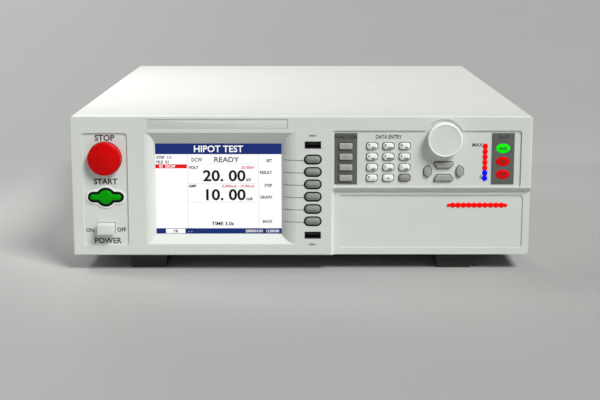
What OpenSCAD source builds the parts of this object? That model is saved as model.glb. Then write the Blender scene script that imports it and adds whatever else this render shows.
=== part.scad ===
// Bench-top hipot tester in a 3U case: moulded front bezel, sheet-metal body, rear panel and the inner parts.
// Millimetres. +X is right as seen from the front, +Y goes to the back, +Z is up.
// The origin is at the middle of the footprint, on the surface that the feet stand on.
// Panel places are given as x from the middle, z above the bezel's lower edge, and depth behind its face.

/* [Case] */
// Width of the case and of the front bezel
case_w = 430; // [422:1:480]
// Height of the front bezel, without the feet
bezel_h = 133; // [131:0.5:177]
// Depth from the bezel's face to the rear edge of the cover
case_d = 450; // [430:1:520]
// Thickness of the cover sheet
cover_t = 1.5; // [1:0.1:2]
// Outer bend radius of the cover
cover_r = 3; // [2.5:0.1:5]
// Thickness of the base sheet
base_t = 1.5; // [1:0.1:2.5]
// Gap between neighbouring sheets
sheet_gap = 0.2; // [0.1:0.05:0.4]
// Height of the base's side flanges
flange_h = 24; // [20:1:40]
// Width of one vent slot in the cover's sides
vent_w = 3; // [2:0.5:5]
// Height of the vent slots
vent_h = 46; // [20:1:60]
// Spacing of the vent slots
vent_pitch = 8; // [6:0.5:14]
// Number of vent slots on each side
vent_count = 16; // [4:1:20]
// Distance of the vent slots from the rear panel
vent_rear = 60; // [40:1:100]

/* [Feet] */
// Height of the feet
foot_h = 15.5; // [10:0.5:25]
// Width of a foot where it meets the base
foot_w = 34.4; // [25:0.2:45]
// Length of a foot where it meets the base
foot_l = 42; // [30:1:60]
// Draft of each foot side over its height
foot_taper = 1.5; // [0.5:0.1:3]
// Distance of the feet's centre lines from the case's sides
foot_side = 69.6; // [40:0.2:110]
// Distance of the foot faces from the front and rear ends of the case
foot_inset = 12; // [10:1:40]
// Diameter of the screw well under each foot
foot_well_d = 9; // [6:0.5:14]
// Thickness of the foot's top wall over the screw well
foot_roof = 4; // [2:0.5:6]

/* [Bezel] */
// Depth of the rim that shows in front of the cover
lip = 8; // [7:0.5:14]
// Gap between the rim and the cover's front edge
seam = 0.3; // [0.2:0.1:0.8]
// Thickness of the front wall
skin = 3.2; // [2.8:0.1:4]
// Depth of the skirt that slides into the cover
skirt_d = 24; // [16:1:40]
// Thickness of the skirt
skirt_t = 2.5; // [1.5:0.1:4]
// Radius along the front edges
edge_r = 1.5; // [0.8:0.1:2.5]
// Inner corner radius of the skirt
skirt_r = 2; // [1:0.1:3]
// Radius of the four corners
corner_r = 3.5; // [3:0.1:6]
// Depth of the shallow recesses
recess_d = 1.2; // [0.8:0.1:1.6]
// Corner radius of the shallow recesses
recess_r = 3; // [1.5:0.1:5]
// Overhang of the name-plate recess beyond the window at each side
name_over = 6.2; // [0:0.1:7]
// Height of the name-plate recess
name_h = 8.9; // [6:0.1:9.5]
// Depth of the name-plate recess
name_d = 0.8; // [0.4:0.1:1.4]
// Distance of the name-plate recess from the bezel's top
name_top = 3; // [2.6:0.1:3.4]
// Corner radius of the name-plate recess
name_r = 1; // [0.5:0.1:2]

/* [Screen] */
// Height of the window
window_h = 87; // [80:0.2:88]
// Height of the window's centre above the bezel's lower edge
window_z = 62.6; // [60:0.1:64]
// Distance from the left control recess to the screen's surround
screen_gap = 14.7; // [8:0.1:18]
// Depth of the window behind the bezel's face
screen_d = 7; // [5:0.1:8]
// Run of the rounded shoulder on the left of the window
shoulder_l = 10.3; // [9:0.1:14]
// Run of the rounded shoulder on the right of the window
shoulder_r = 14.6; // [10:0.1:18]
// Run of the slope above the window
slope_top = 11.3; // [6:0.1:12]
// Run of the slope below the window
slope_low = 8.3; // [5:0.1:12]
// Thickness of the wall round the window's rear edge
window_wall = 1; // [0.6:0.1:2]
// Thickness of the screen's glass
glass_t = 1.2; // [0.8:0.1:2]
// Overlap of the glass behind the window's edge
glass_lap = 3; // [2:0.1:5]
// Rim of the screen module round the glass
module_rim = 3.6; // [2:0.1:6]
// Thickness of the screen module
module_t = 10; // [6:0.5:20]
// Corner radius of the screen module
module_r = 2; // [1:0.1:3]

/* [Left controls] */
// Distance of the left recess from the case's left side
left_margin = 10.6; // [8:0.1:16]
// Width of the left recess
left_w = 42.2; // [40:0.1:48]
// Height of the left recess's lower edge
left_low = 9.9; // [6:0.1:14]
// Distance of the left recess's upper edge from the bezel's top
left_top = 15.9; // [12:0.1:18]
// Diameter of the STOP button
stop_d = 31; // [24:0.5:34]
// Distance of the STOP button's axis below the bezel's top
stop_drop = 40; // [38:0.5:44]
// Height of the STOP button in front of its recess
stop_proud = 9; // [6:0.5:14]
// Height of the STOP button's crown
stop_crown = 2.4; // [1.5:0.1:4]
// Travel of the STOP and POWER buttons
button_travel = 3; // [2:0.1:4]
// Distance of the START button's centre below the bezel's top
start_drop = 76.9; // [74:0.1:80]
// Width of the START button
start_w = 30.3; // [26:0.1:32]
// Height of the START button's side bars
start_bar = 6.6; // [5:0.1:9]
// Diameter of the START button's middle disc
start_disc = 14.6; // [12:0.1:18]
// Height of the START button in front of its recess
start_proud = 2.6; // [1.5:0.1:4]
// Step from the START button's disc back to its side bars
start_step = 0.6; // [0.3:0.1:1]
// Travel of the START button
start_travel = 2; // [1:0.1:3]
// Width of the START collar's visible ring
start_ring = 1.3; // [0.6:0.1:1.6]
// Width of the raised rim round the START collar
start_rim = 1.6; // [0.8:0.1:2]
// Height of the raised rim round the START collar
start_rim_h = 0.6; // [0.3:0.1:1]
// Width of the POWER button
power_w = 15.8; // [12:0.1:18]
// Height of the POWER button's face
power_h = 10; // [8:0.1:13]
// Height of the POWER button's centre above the bezel's lower edge
power_z = 26.5; // [24:0.1:30]
// Height of the POWER button in front of its recess
power_proud = 9; // [5:0.5:14]
// Width of the STOP button's switch
stop_switch_w = 20; // [16:0.5:24]

/* [Key action] */
// Gap round a key in its opening
key_gap = 0.45; // [0.35:0.05:0.6]
// Gap between a key's flange and the wall in front of it
rest_gap = 0.3; // [0.2:0.05:0.4]
// Width of the flange that holds a key behind the wall
key_flange = 1.1; // [0.8:0.1:1.15]
// Thickness of that flange
flange_t = 1; // [0.6:0.1:1.4]
// Travel of the keys
key_travel = 1; // [0.6:0.1:1.5]
// Chamfer of the key caps' front edges
cap_edge = 0.6; // [0.3:0.1:0.8]
// Corner radius of the function keys and the POWER button
square_r = 0.5; // [0.3:0.1:0.8]
// Radius of the key stems
stem_r = 1.5; // [1:0.1:1.8]
// Radial gap between a stem and its switch
stem_gap = 0.25; // [0.15:0.05:0.4]
// Length of stem that stays in the switch
stem_reach = 2; // [1:0.1:2.4]
// Width of a key switch
switch_w = 6.2; // [5.4:0.1:7]
// Depth of the right-hand key boards behind the bezel's face
board_y = 14; // [13:0.5:20]
// Depth of the left button board behind the bezel's face
left_board_y = 22; // [18:0.5:26]
// Thickness of the key boards
board_t = 1.6; // [1:0.1:2.4]
// Radius of the bosses that carry the key boards
boss_r = 2.6; // [2:0.1:3]

/* [Soft keys and sockets] */
// Distance of the soft-key column from the screen's surround
column_gap = 14.8; // [12:0.1:20]
// Width of a soft key
soft_w = 14.2; // [10:0.1:16]
// Height of a soft key
soft_h = 6.8; // [5:0.1:7]
// Spacing of the soft keys
soft_pitch = 11.8; // [11.6:0.05:12]
// Height of the soft keys in front of the face
soft_proud = 1.8; // [1:0.1:3]
// Width of the soft-key collars' visible ring
collar_ring = 0.65; // [0.5:0.05:0.9]
// Height of the collars in front of the wall that they sit in
collar_proud = 0.3; // [0.1:0.1:0.6]
// Thickness of the collars' rear flange
collar_flange = 1; // [0.6:0.1:1.2]
// Fit of collars, plates and sockets in their openings
fit_gap = 0.1; // [0.05:0.05:0.2]
// Width of a memory-stick socket
usb_w = 15.2; // [14:0.1:16]
// Height of a memory-stick socket
usb_h = 6.8; // [6.4:0.1:8]
// Distance of each socket from the window's centre height
usb_z = 43.1; // [42.6:0.1:44]
// Width of the guide grooves beside the soft keys
groove_w = 0.8; // [0.5:0.1:1.2]
// Depth of the guide grooves
groove_d = 0.5; // [0.3:0.1:0.8]
// Length of flat face that a groove crosses before its key
groove_run = 6.4; // [3:0.1:6.6]
// Distance of a groove below its key's centre
groove_drop = 1; // [0:0.1:2]
// Distance of a groove's start from the window's edge
groove_start = 2; // [1:0.1:4]

/* [Right panel] */
// Distance of the upper recess from the soft-key column
upper_gap = 18.7; // [16:0.1:22]
// Distance of the upper recess from the case's right side
upper_margin = 9.8; // [8:0.1:14]
// Distance of the upper recess from the bezel's top
upper_top = 13.6; // [12:0.1:16]
// Height of the upper recess
upper_h = 53.4; // [52:0.1:56]
// Height of the ledge's edge below the upper recess
ledge_edge = 1.1; // [0.8:0.1:2]
// Run of the slope under the ledge
ledge_slope = 3.7; // [2:0.1:5]
// Depth of the lower panel behind the bezel's face
lower_d = 4; // [3:0.1:5]
// Run of the slope on the left of the lower panel
lower_slope = 3; // [2:0.1:5]
// Corner radius at the upper left of the lower panel
lower_r = 4; // [3:0.1:6]
// Depth of the lower panel's recess
inner_d = 0.8; // [0.5:0.1:1.2]
// Margin of the lower panel's recess at its left, bottom and right
inner_margin = 6.4; // [4:0.1:9]
// Margin of the lower panel's recess under the ledge
inner_top = 3.8; // [3:0.1:6]
// Width of the two dark legend plates
plate_w = 21; // [20:0.1:24]
// Height of the legend plates
plate_h = 48.5; // [46:0.1:50]
// Thickness of the legend plates
plate_t = 0.4; // [0.2:0.1:0.6]
// Distance of the function plate from the recess's left edge
plate_l = 1.6; // [1:0.1:2.4]
// Distance of the status plate from the recess's right edge
plate_r = 6.6; // [5:0.1:8]
// Width of a function key
function_w = 12.5; // [10:0.1:14]
// Height of a function key
function_h = 6; // [5:0.1:6.4]
// Spacing of the rows of keys
row_pitch = 10.05; // [10:0.05:10.4]
// Height of the lowest row of keys above the upper recess's lower edge
row_low = 8.5; // [8:0.1:9.5]
// Distance from the first column of data keys to the knob's axis
data_gap = 67; // [65:0.1:70]
// Distance from the function keys to the first column of data keys
function_gap = 24.4; // [22:0.1:26]
// Width of a data key
data_w = 10.8; // [9:0.1:11.4]
// Height of a data key
data_h = 6.6; // [5.6:0.1:6.9]
// Corner radius of a data key
data_r = 2.4; // [1.5:0.1:2.8]
// Spacing of the columns of data keys
data_pitch = 15.2; // [14.6:0.1:15.6]
// Height of the keys in front of their recess
key_proud = 2.2; // [1.5:0.1:4]
// Distance of the knob and arrow keys from the case's right side
knob_side = 82; // [80:0.1:84]
// Height of the arrow keys' centre above the upper recess's lower edge
arrow_low = 14.6; // [13.6:0.1:15.2]
// Distance of the left and right arrow keys from their centre
arrow_x = 15.1; // [14.6:0.1:16]
// Distance of the up and down arrow keys from their centre
arrow_z = 6.1; // [6:0.1:6.4]
// Length of an arrow key
arrow_l = 18.4; // [15:0.1:19]
// Thickness of an arrow key's shape
arrow_t = 6.2; // [5:0.1:6.4]
// Length of the left and right arrow keys
arrow_side_l = 11.5; // [10:0.1:12]
// Thickness of the left and right arrow keys
arrow_side_t = 7.1; // [6:0.1:7.4]

/* [Knob] */
// Diameter of the tuning knob
knob_d = 32; // [26:0.5:33]
// Height of the tuning knob in front of its recess
knob_h = 9; // [8:0.5:20]
// Radius of the knob's front edge
knob_edge = 1.6; // [1:0.1:3]
// Distance of the knob's axis below the bezel's top
knob_drop = 21.6; // [21:0.1:23]
// Gap between the knob and the recess's arc round it
knob_ring = 2.8; // [2:0.1:3]
// Radius of the knob's shaft
shaft_r = 3; // [2:0.1:3.5]
// Radial running gap of the shafts
shaft_gap = 0.05; // [0.02:0.01:0.1]
// Radius of the encoder's bush
bush_r = 4.5; // [4:0.1:5]
// Width of the encoder's body
encoder_w = 13; // [11:0.5:15]
// Depth of the encoder's front behind the wall
encoder_gap = 2; // [1:0.1:3]
// Depth of the dish in the knob's face
dish_d = 0.5; // [0.3:0.1:1]
// Width of the rim round the dish
dish_rim = 2.2; // [1.8:0.1:4]

/* [Lamps] */
// Diameter of a lamp
lamp_d = 5; // [4:0.1:5]
// Spacing of the lamps
lamp_pitch = 5.1; // [5.05:0.05:5.2]
// Number of red lamps in the level column
red_count = 5; // [2:1:5]
// Number of blue lamps under them
blue_count = 2; // [1:1:2]
// Distance of the level column from the status plate
lamp_side = 6.1; // [4:0.1:8]
// Number of lamps in the lower row
row_count = 10; // [4:1:10]
// Distance of the lower row's last lamp from the case's right side
row_side = 26.3; // [22:0.1:32]
// Height of the lower row above the bezel's lower edge
row_z = 47.4; // [44:0.1:48]
// Diameter of the small lamps at the row's ends
tip_d = 3; // [2:0.1:3.4]
// Height of the lamps and lenses in front of their wall
lamp_proud = 0.9; // [0.4:0.1:1.5]
// Height of a lamp's dome as a share of its diameter
lamp_dome = 0.2; // [0.1:0.05:0.4]
// Width of a status lens
lens_w = 13.3; // [11:0.1:14]
// Height of a status lens
lens_h = 9; // [7:0.1:9.4]
// Spacing of the status lenses
lens_pitch = 12.3; // [12:0.1:12.6]
// Height of the lowest lens above the upper recess's lower edge
lens_low = 11.8; // [11:0.1:13]

/* [Rear panel] */
// Thickness of the rear panel
rear_t = 2; // [1.5:0.1:3]
// Depth of the rear panel inside the cover's rear edge
rear_inset = 1.5; // [0.5:0.1:4]
// Height of the rear fittings' centre line
rear_z = 66; // [60:0.5:70]
// Distance of the mains inlet from the case's right side
inlet_side = 43; // [35:0.5:50]
// Width of the mains inlet's body
inlet_w = 27; // [26:0.5:30]
// Height of the mains inlet's body
inlet_h = 46; // [44:0.5:50]
// Depth of the mains inlet's body behind the panel
inlet_d = 24; // [22:0.5:30]
// Overlap of the inlet's flange on the panel
inlet_lap = 2.5; // [1.5:0.1:4]
// Thickness of the inlet's flange
inlet_flange = 2.5; // [1.5:0.1:3]
// Wall above the inlet's plug cavity
plug_margin = 3; // [2:0.1:4]
// Width of the inlet's plug cavity
plug_w = 24.4; // [24:0.1:24.6]
// Height of the inlet's plug cavity
plug_h = 16.8; // [16.4:0.1:17]
// Depth of the inlet's plug cavity
plug_d = 16; // [15:0.5:18]
// Distance of the high-voltage output from the case's left side
output_side = 65; // [45:0.5:80]
// Radius of the output's insulator
output_r = 12; // [10:0.5:16]
// Overlap of the output's flange on the panel
output_lap = 8; // [5:0.5:12]
// Length of the output's insulator inside the panel
output_tail = 20; // [15:0.5:30]
// Length of the output's insulator behind the panel
output_l = 24; // [16:0.5:30]
// Radius of the output's bore
output_bore = 4; // [3:0.1:5]
// Depth of the output's bore
output_depth = 36; // [30:1:40]
// Distance of the first return terminal from the output
post_gap = 58; // [50:0.5:65]
// Spacing of the two terminals
post_pitch = 26; // [22:0.5:30]
// Radius of the terminals
post_r = 5.5; // [4.5:0.1:7]
// Length of the terminals behind the panel
post_l = 18; // [14:0.5:24]
// Overlap of the terminals' collar on the panel
post_lap = 2.5; // [1:0.1:4]
// Length of the terminals' tail inside the panel
post_tail = 8; // [5:0.5:12]
// Radius of the terminals' test-lead bore
post_bore = 2; // [1.9:0.05:2.1]
// Depth of the terminals' bore
post_depth = 15; // [12:0.5:17]
// Place of the interface ports from the middle
port_x = 0; // [-15:0.5:15]
// Height of the ports above and below the centre line
port_z = 16; // [12:0.5:24]
// Width of a port's shell
port_w = 17; // [15:0.1:20]
// Height of a port's shell
port_h = 8.4; // [8:0.1:9]
// Length of a port's shell behind the panel
port_l = 6; // [4:0.5:8]
// Distance of a port's jack screws from its shell
jack_gap = 4; // [3.5:0.1:5]
// Width of a jack screw across its corners
jack_d = 5; // [4:0.1:6]

/* [Fan] */
// Width of the fan's frame
fan_w = 80; // [70:1:92]
// Depth of the fan's frame
fan_d = 25; // [20:0.5:30]
// Distance of the fan's axis from the mains inlet
fan_gap = 77; // [70:0.5:82]
// Radial gap between the fan's bore and the frame's side
fan_wall = 2; // [1.5:0.1:4]
// Gap between the blades and the bore
blade_gap = 1.4; // [0.8:0.1:3]
// Radius of the rotor's hub
hub_r = 17; // [14:0.5:20]
// Number of blades
blade_count = 7; // [5:1:9]
// Thickness of a blade
blade_t = 1.6; // [1:0.1:2.4]
// Width of a blade
blade_chord = 15; // [10:0.5:16]
// Pitch of the blades
blade_pitch = 40; // [25:1:50]
// Distance of the fan's screws from its side
fan_screw = 4.25; // [4:0.05:5]
// Radius of the guard's wire
wire_r = 0.9; // [0.6:0.1:1.2]
// Number of rings in the guard
ring_count = 4; // [3:1:6]
// Distance of the outer ring from the fan's bore
ring_margin = 4; // [2:0.5:8]
// Width of the eyes round the guard's screws
eye_wall = 2.2; // [1.5:0.1:3]

/* [Fasteners] */
// Radius of the screw heads
head_r = 3.2; // [2.5:0.1:4]
// Height of the screw heads
head_h = 1.6; // [1:0.1:2.4]
// Radius of the screw shanks
shank_r = 1.5; // [1:0.1:1.8]
// Gap round the shanks
shank_gap = 0.2; // [0.1:0.05:0.4]
// Number of cover screws on each side
side_screws = 3; // [2:1:5]
// Distance of the outer cover screws from the skirt and from the rear panel
screw_inset = 22; // [10:1:40]
// Reach of the screws into what they hold
screw_grip = 3; // [2:0.5:6]

/* [Inside] */
// Height of the board standoffs
standoff_h = 10; // [6:1:20]
// Distance of the standoffs from the control board's edges
standoff_inset = 6; // [4:0.5:10]
// Width and depth of the control board
control_size = [140, 130]; // [80:1:150]
// Middle of the control board, from the middle of the case and behind the face
control_at = [20, 190]; // [10:1:240]
// Width, depth and height of the transformer's core
core_size = [96, 60, 84]; // [50:1:100]
// Distance of the transformer's middle from the case's left side and rear edge
core_from = [100, 160]; // [80:1:200]
// Thickness of the transformer's core legs
core_leg = 16; // [10:1:20]
// Width, depth and height of the power supply
supply_size = [88, 160, 44]; // [40:1:180]
// Distance of the power supply's middle from the case's right side and rear edge
supply_from = [67, 210]; // [60:1:240]

/* [Hidden] */
$fn = 64;
eps = 0.01;
cut = 1;
hull_fn = 32;
// Overlap of shapes that are joined
bite = 1;

// Margins of the openings for the black collars round their keys
start_margin = key_gap + start_ring + fit_gap;
collar_margin = key_gap + collar_ring + fit_gap;

// Depths behind the bezel's face
seat_y = skin + rest_gap;
collar_seat_y = skin + collar_flange + rest_gap;
glass_y = screen_d + window_wall;
lower_back = lower_d + inner_d + skin - recess_d;
rear_out = case_d - rear_inset;
rear_in = rear_out - rear_t;

// The footprint's middle: front and rear reach of what stands proud of the case
front_reach = max(stop_proud, power_proud, knob_h) - recess_d;
rear_reach = max(output_l, post_l) - rear_inset;
face_y = (front_reach - case_d - rear_reach) / 2;

// Widths inside the cover
inner_half = case_w / 2 - cover_t - sheet_gap;
inner_top_z = bezel_h - cover_t - sheet_gap;

// Panel places, from the right
upper_r = case_w / 2 - upper_margin;
status_x = upper_r - plate_r - plate_w / 2;
lamp_x = status_x - plate_w / 2 - lamp_side;
knob_x = case_w / 2 - knob_side;
data_x = knob_x - data_gap;
function_x = data_x - function_gap;
upper_l = function_x - plate_w / 2 - plate_l;
column_x = upper_l - upper_gap;
surround_r = column_x - column_gap;

// Panel places, from the left: the window takes the width that is left over
left_x = -case_w / 2 + left_margin + left_w / 2;
surround_l = left_x + left_w / 2 + screen_gap;
window_w = surround_r - surround_l - shoulder_l - shoulder_r;
window_x = surround_l + shoulder_l + window_w / 2;
name_w = window_w + 2 * name_over;

// Panel heights
left_top_z = bezel_h - left_top;
stop_z = bezel_h - stop_drop;
start_z = bezel_h - start_drop;
knob_z = bezel_h - knob_drop;
upper_top_z = bezel_h - upper_top;
upper_low_z = upper_top_z - upper_h;
ledge_z = upper_low_z - ledge_edge;
row_low_z = upper_low_z + row_low;
arrow_mid_z = upper_low_z + arrow_low;
plate_z = (upper_top_z + upper_low_z) / 2;

// Key places
soft_rows = 6;
function_rows = 4;
data_columns = 3;
DATA_KEYS = [
    "number_key_7", "number_key_8", "number_key_9",
    "number_key_4", "number_key_5", "number_key_6",
    "number_key_1", "number_key_2", "number_key_3",
    "number_key_0", "point_key", "enter_key",
];
ARROW_KEYS = ["arrow_up", "arrow_left", "arrow_down", "arrow_right"];
function soft_at(k) = [column_x, window_z + ((soft_rows + 1) / 2 - k) * soft_pitch];
function function_at(k) = [function_x, row_low_z + (function_rows - k) * row_pitch];
function data_at(k) = [
    data_x + (k % data_columns) * data_pitch,
    row_low_z + (function_rows - 1 - floor(k / data_columns)) * row_pitch,
];
function arrow_at(k) = [knob_x - arrow_x * sin(90 * k), arrow_mid_z + arrow_z * cos(90 * k)];
function usb_at(side) = [column_x, window_z + side * usb_z];
function lens_at(k) = [status_x, upper_low_z + lens_low + (2 - k) * lens_pitch];

// Lamp places: the level column counts from its top, the lower row from its right end
lamp_top_z = row_low_z + (function_rows - 1) * row_pitch;
function level_at(k) = [lamp_x, lamp_top_z - k * lamp_pitch];
function row_at(k) = [case_w / 2 - row_side - k * lamp_pitch, row_z];
tip_step = (lamp_d + tip_d) / 2 + lamp_pitch - lamp_d;
row_tips = [row_at(0) + [tip_step, 0], row_at(row_count - 1) - [tip_step, 0]];

// Depth of a switch's front for a key whose flange rests at the given depth
function switch_front(seat, travel, flange) = seat + flange + travel + rest_gap;
key_switch_y = switch_front(seat_y, key_travel, flange_t);
soft_switch_y = switch_front(collar_seat_y, key_travel, flange_t);
start_switch_y = switch_front(collar_seat_y, start_travel, flange_t);
button_switch_y = switch_front(seat_y, button_travel, flange_t);

// Floor behind the knob's shaft in the encoder
shaft_floor = 1;

// Board and boss places
board_inset = 3.5;
board_edge = 1;
board_r = 1;
lower_boss_drop = 8;
main_board_l = upper_l - board_edge;
main_board_low = row_z - lamp_d / 2 - board_inset;
main_board_top = upper_top_z + board_edge;
lower_boss_x = main_board_l + 2 * lower_boss_drop;
lower_boss_z = ledge_z - lower_boss_drop;
main_bosses = [
    [data_x + data_pitch, upper_top_z - board_inset],
    [upper_r - board_inset, upper_top_z - board_inset],
];
lower_bosses = [for (x = [lower_boss_x, knob_x, upper_r - board_inset]) [x, lower_boss_z]];
soft_board_w = 20;
soft_bosses = [for (s = [-1, 1]) usb_at(s) + [0, s * (usb_h / 2 + boss_r + board_edge)]];
left_bosses = [for (x = [-1, 1], z = [left_low + board_inset, left_top_z - board_inset])
    [left_x + x * (left_w / 2 - board_inset), z]];

// Places of the feet, of the rear fittings and of the inner parts
foot_x = case_w / 2 - foot_side;
inlet_x = case_w / 2 - inlet_side;
output_x = output_side - case_w / 2;
post_x = output_x + post_gap;
fan_x = inlet_x - fan_gap;
core_at = [core_from[0] - case_w / 2, case_d - core_from[1]];
supply_at = [case_w / 2 - supply_from[0], case_d - supply_from[1]];

// Fan levels along its axis, from the face
fan_y = rear_in - fan_d;
fan_bore = fan_w / 2 - fan_wall;
blade_tip = fan_bore - blade_gap;
fan_shaft_r = 1.5;
fan_corner_r = 4;
hub_disc_t = 3;
hub_clear = 3;
bearing_l = 8;
bearing_wall = 2.5;
screw_off = fan_w / 2 - fan_screw;

// Places of the cover screws along the sides
screw_ys = [for (k = [0:side_screws - 1]) skirt_d + screw_inset
    + k * (rear_in - skirt_d - 2 * screw_inset) / (side_screws - 1)];
screw_z = base_t + flange_h / 2;

// Outlines in the panel's plane

module round_rect(w, h, r) {
    square([w - 2 * r, h], center = true);
    square([w, h - 2 * r], center = true);
    for (x = [-1, 1], z = [-1, 1])
        translate([x * (w / 2 - r), z * (h / 2 - r)])
            circle(r);
}

// Rectangle given by its edges
module rect_edges(l, r, low, top, radius) {
    translate([(l + r) / 2, (low + top) / 2])
        round_rect(r - l, top - low, radius);
}

module pill(w, h) {
    square([w - h, h], center = true);
    for (x = [-1, 1])
        translate([x * (w - h) / 2, 0])
            circle(d = h);
}

module oval(w, h) {
    step = 7.5;
    polygon([for (a = [0:step:360 - step]) [w / 2 * cos(a), h / 2 * sin(a)]]);
}

// Disc with two side bars and soft inner corners, grown outwards by a margin
module start_outline(grow) {
    fillet = 2;
    offset(r = -fillet)
        offset(delta = fillet) {
            circle(d = start_disc + 2 * grow);
            pill(start_w + 2 * grow, start_bar + 2 * grow);
        }
}

// Arrow key: long keys above and below, lens-shaped keys at the sides, each turned to its place
module arrow_outline(k, grow) {
    round_r = 0.7;
    side = k % 2 == 1;
    offset(r = round_r + grow)
        offset(delta = -round_r)
            rotate(90 * k)
                polygon(side ? lens_points(arrow_side_l, arrow_side_t) : long_points(arrow_l, arrow_t));
}

// Lens-shaped key in shares of its length and thickness, wide side outwards before it is turned
function lens_points(l, t) = [
    [-l / 2, -t * 0.1], [-l * 0.22, -t / 2], [l * 0.22, -t / 2],
    [l / 2, -t * 0.1], [l * 0.25, t / 2], [-l * 0.25, t / 2],
];

// Long key in shares of its length and thickness, wide side outwards before it is turned
function long_points(l, t) = [
    [-l / 2, t * 0.22], [-l * 0.34, -t / 2], [l * 0.34, -t / 2],
    [l / 2, t * 0.22], [l * 0.44, t / 2], [-l * 0.44, t / 2],
];

// Solids placed by panel coordinates

// Prism of a panel outline between two depths behind the face
module slab(y0, y1) {
    translate([0, face_y + y1, foot_h])
        rotate([90, 0, 0])
            linear_extrude(y1 - y0)
                children();
}

// Round bar along the depth
module rod(place, r, y0, y1) {
    translate([place[0], face_y + y0, foot_h + place[1]])
        rotate([-90, 0, 0])
            cylinder(r = r, h = y1 - y0);
}

// Turned piece along the depth: its profile is drawn as radius and depth
module turned(place) {
    translate([place[0], face_y, foot_h + place[1]])
        rotate([-90, 0, 0])
            rotate_extrude()
                children();
}

// Round bar across the case
module cross_rod(x0, x1, y, z, r) {
    translate([x0, face_y + y, foot_h + z])
        rotate([0, 90, 0])
            cylinder(r = r, h = x1 - x0);
}

// Box by its corner in panel coordinates
module block(corner, size) {
    translate([corner[0], face_y + corner[1], foot_h + corner[2]])
        cube(size);
}

// Cap with a chamfered front edge. Its outline, the child, bulges outwards all round.
module cap(front, back) {
    hull() {
        slab(front, front + eps)
            offset(delta = -cap_edge)
                children();
        slab(front + cap_edge, back)
            children();
    }
}

// Key: cap, flange behind the wall and a stem for its switch
module key(place, front, seat, travel) {
    translate([place[0], 0, place[1]]) {
        cap(front, seat + flange_t)
            children();
        slab(seat, seat + flange_t)
            offset(delta = key_flange)
                children();
    }
    stem(place, seat, travel);
}

module stem(place, seat, travel) {
    rod(place, stem_r, seat, switch_front(seat, travel, flange_t) + stem_reach);
}

// Switch body with a blind bore for a key's stem
module key_switch(place, front, travel, board) {
    difference() {
        translate([place[0], 0, place[1]])
            slab(front, board)
                square(switch_w, center = true);
        rod(place, stem_r + stem_gap, front - cut, front + stem_reach + travel + rest_gap);
    }
}

// Lamp: round light pipe from its board to a domed front
module lamp(place, d, wall) {
    tip = wall - lamp_proud;
    dome = d * lamp_dome;
    dome_r = (dome * dome + d * d / 4) / (2 * dome);
    turned(place) {
        translate([0, tip + dome])
            square([d / 2, board_y - tip - dome]);
        intersection() {
            translate([0, tip])
                square([d / 2, dome + eps]);
            translate([0, tip + dome_r])
                circle(dome_r, $fn = 96);
        }
    }
}

// Front bezel

// Rim slab with rounded front edges and corners
module bezel_rim() {
    intersection() {
        slab(0, lip)
            rect_edges(-case_w / 2, case_w / 2, 0, bezel_h, corner_r);
        translate([0, face_y, foot_h - cut])
            linear_extrude(bezel_h + 2 * cut)
                front_profile(case_w);
        translate([-case_w / 2 - cut, face_y, foot_h + bezel_h / 2])
            rotate([90, 0, 90])
                linear_extrude(case_w + 2 * cut)
                    mirror([1, -1])
                        front_profile(bezel_h);
    }
}

// Section of the rim: a strip of the given width whose front corners are rounded
module front_profile(w) {
    translate([-w / 2, edge_r])
        square([w, lip]);
    translate([-w / 2 + edge_r, 0])
        square([w - 2 * edge_r, lip]);
    for (x = [-1, 1])
        translate([x * (w / 2 - edge_r), edge_r])
            circle(edge_r);
}

// Skirt that slides into the cover and over the base
module bezel_skirt() {
    slab(skin, skirt_d)
        difference() {
            rect_edges(-inner_half, inner_half, base_t + sheet_gap, inner_top_z, cover_r);
            rect_edges(-inner_half + skirt_t, inner_half - skirt_t,
                base_t + sheet_gap + skirt_t, inner_top_z - skirt_t, skirt_r);
        }
}

// Hollow behind the rim, so that the front is a wall of even thickness
module bezel_hollow() {
    slab(skin, lip + cut)
        rect_edges(-inner_half + skirt_t, inner_half - skirt_t,
            base_t + sheet_gap + skirt_t, inner_top_z - skirt_t, skirt_r);
}

// Blocks behind the screen's surround and behind the lower panel
module bezel_backing() {
    back_margin = 3;
    slab(eps, glass_y)
        rect_edges(surround_l - back_margin, surround_r + back_margin,
            window_z - window_h / 2 - slope_low - back_margin,
            window_z + window_h / 2 + slope_top + back_margin, recess_r);
    slab(eps, lower_back)
        rect_edges(upper_l - lower_slope - back_margin, inner_half - bite,
            base_t + sheet_gap + bite, ledge_z + back_margin, recess_r);
}

module bezel_bosses() {
    for (p = main_bosses)
        rod(p, boss_r, skin - eps, board_y);
    for (p = lower_bosses)
        rod(p, boss_r, lower_back - eps, board_y);
    for (p = soft_bosses)
        rod(p, boss_r, skin - eps, board_y);
    for (p = left_bosses)
        rod(p, boss_r, skin - eps, left_board_y);
}

// Radius of a shoulder that leaves the face level and reaches the window's depth over its run
function shoulder_radius(run) = (run * run + screen_d * screen_d) / (2 * screen_d);

// Plan of the window and of the space in front of it, with a rounded shoulder at each side.
// The shoulders' surface is cut deeper by the given amount.
module screen_plan(deeper) {
    start = 1;
    overlap = 0.2;
    difference() {
        translate([surround_l + start, -cut])
            square([surround_r - surround_l - 2 * start, screen_d + 2 * cut]);
        translate([surround_l, shoulder_radius(shoulder_l)])
            circle(shoulder_radius(shoulder_l) - deeper, $fn = 128);
        translate([surround_r, shoulder_radius(shoulder_r)])
            circle(shoulder_radius(shoulder_r) - deeper, $fn = 128);
    }
    translate([window_x - window_w / 2, screen_d - overlap])
        square([window_w, window_wall + overlap + 2 * cut]);
}

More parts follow.
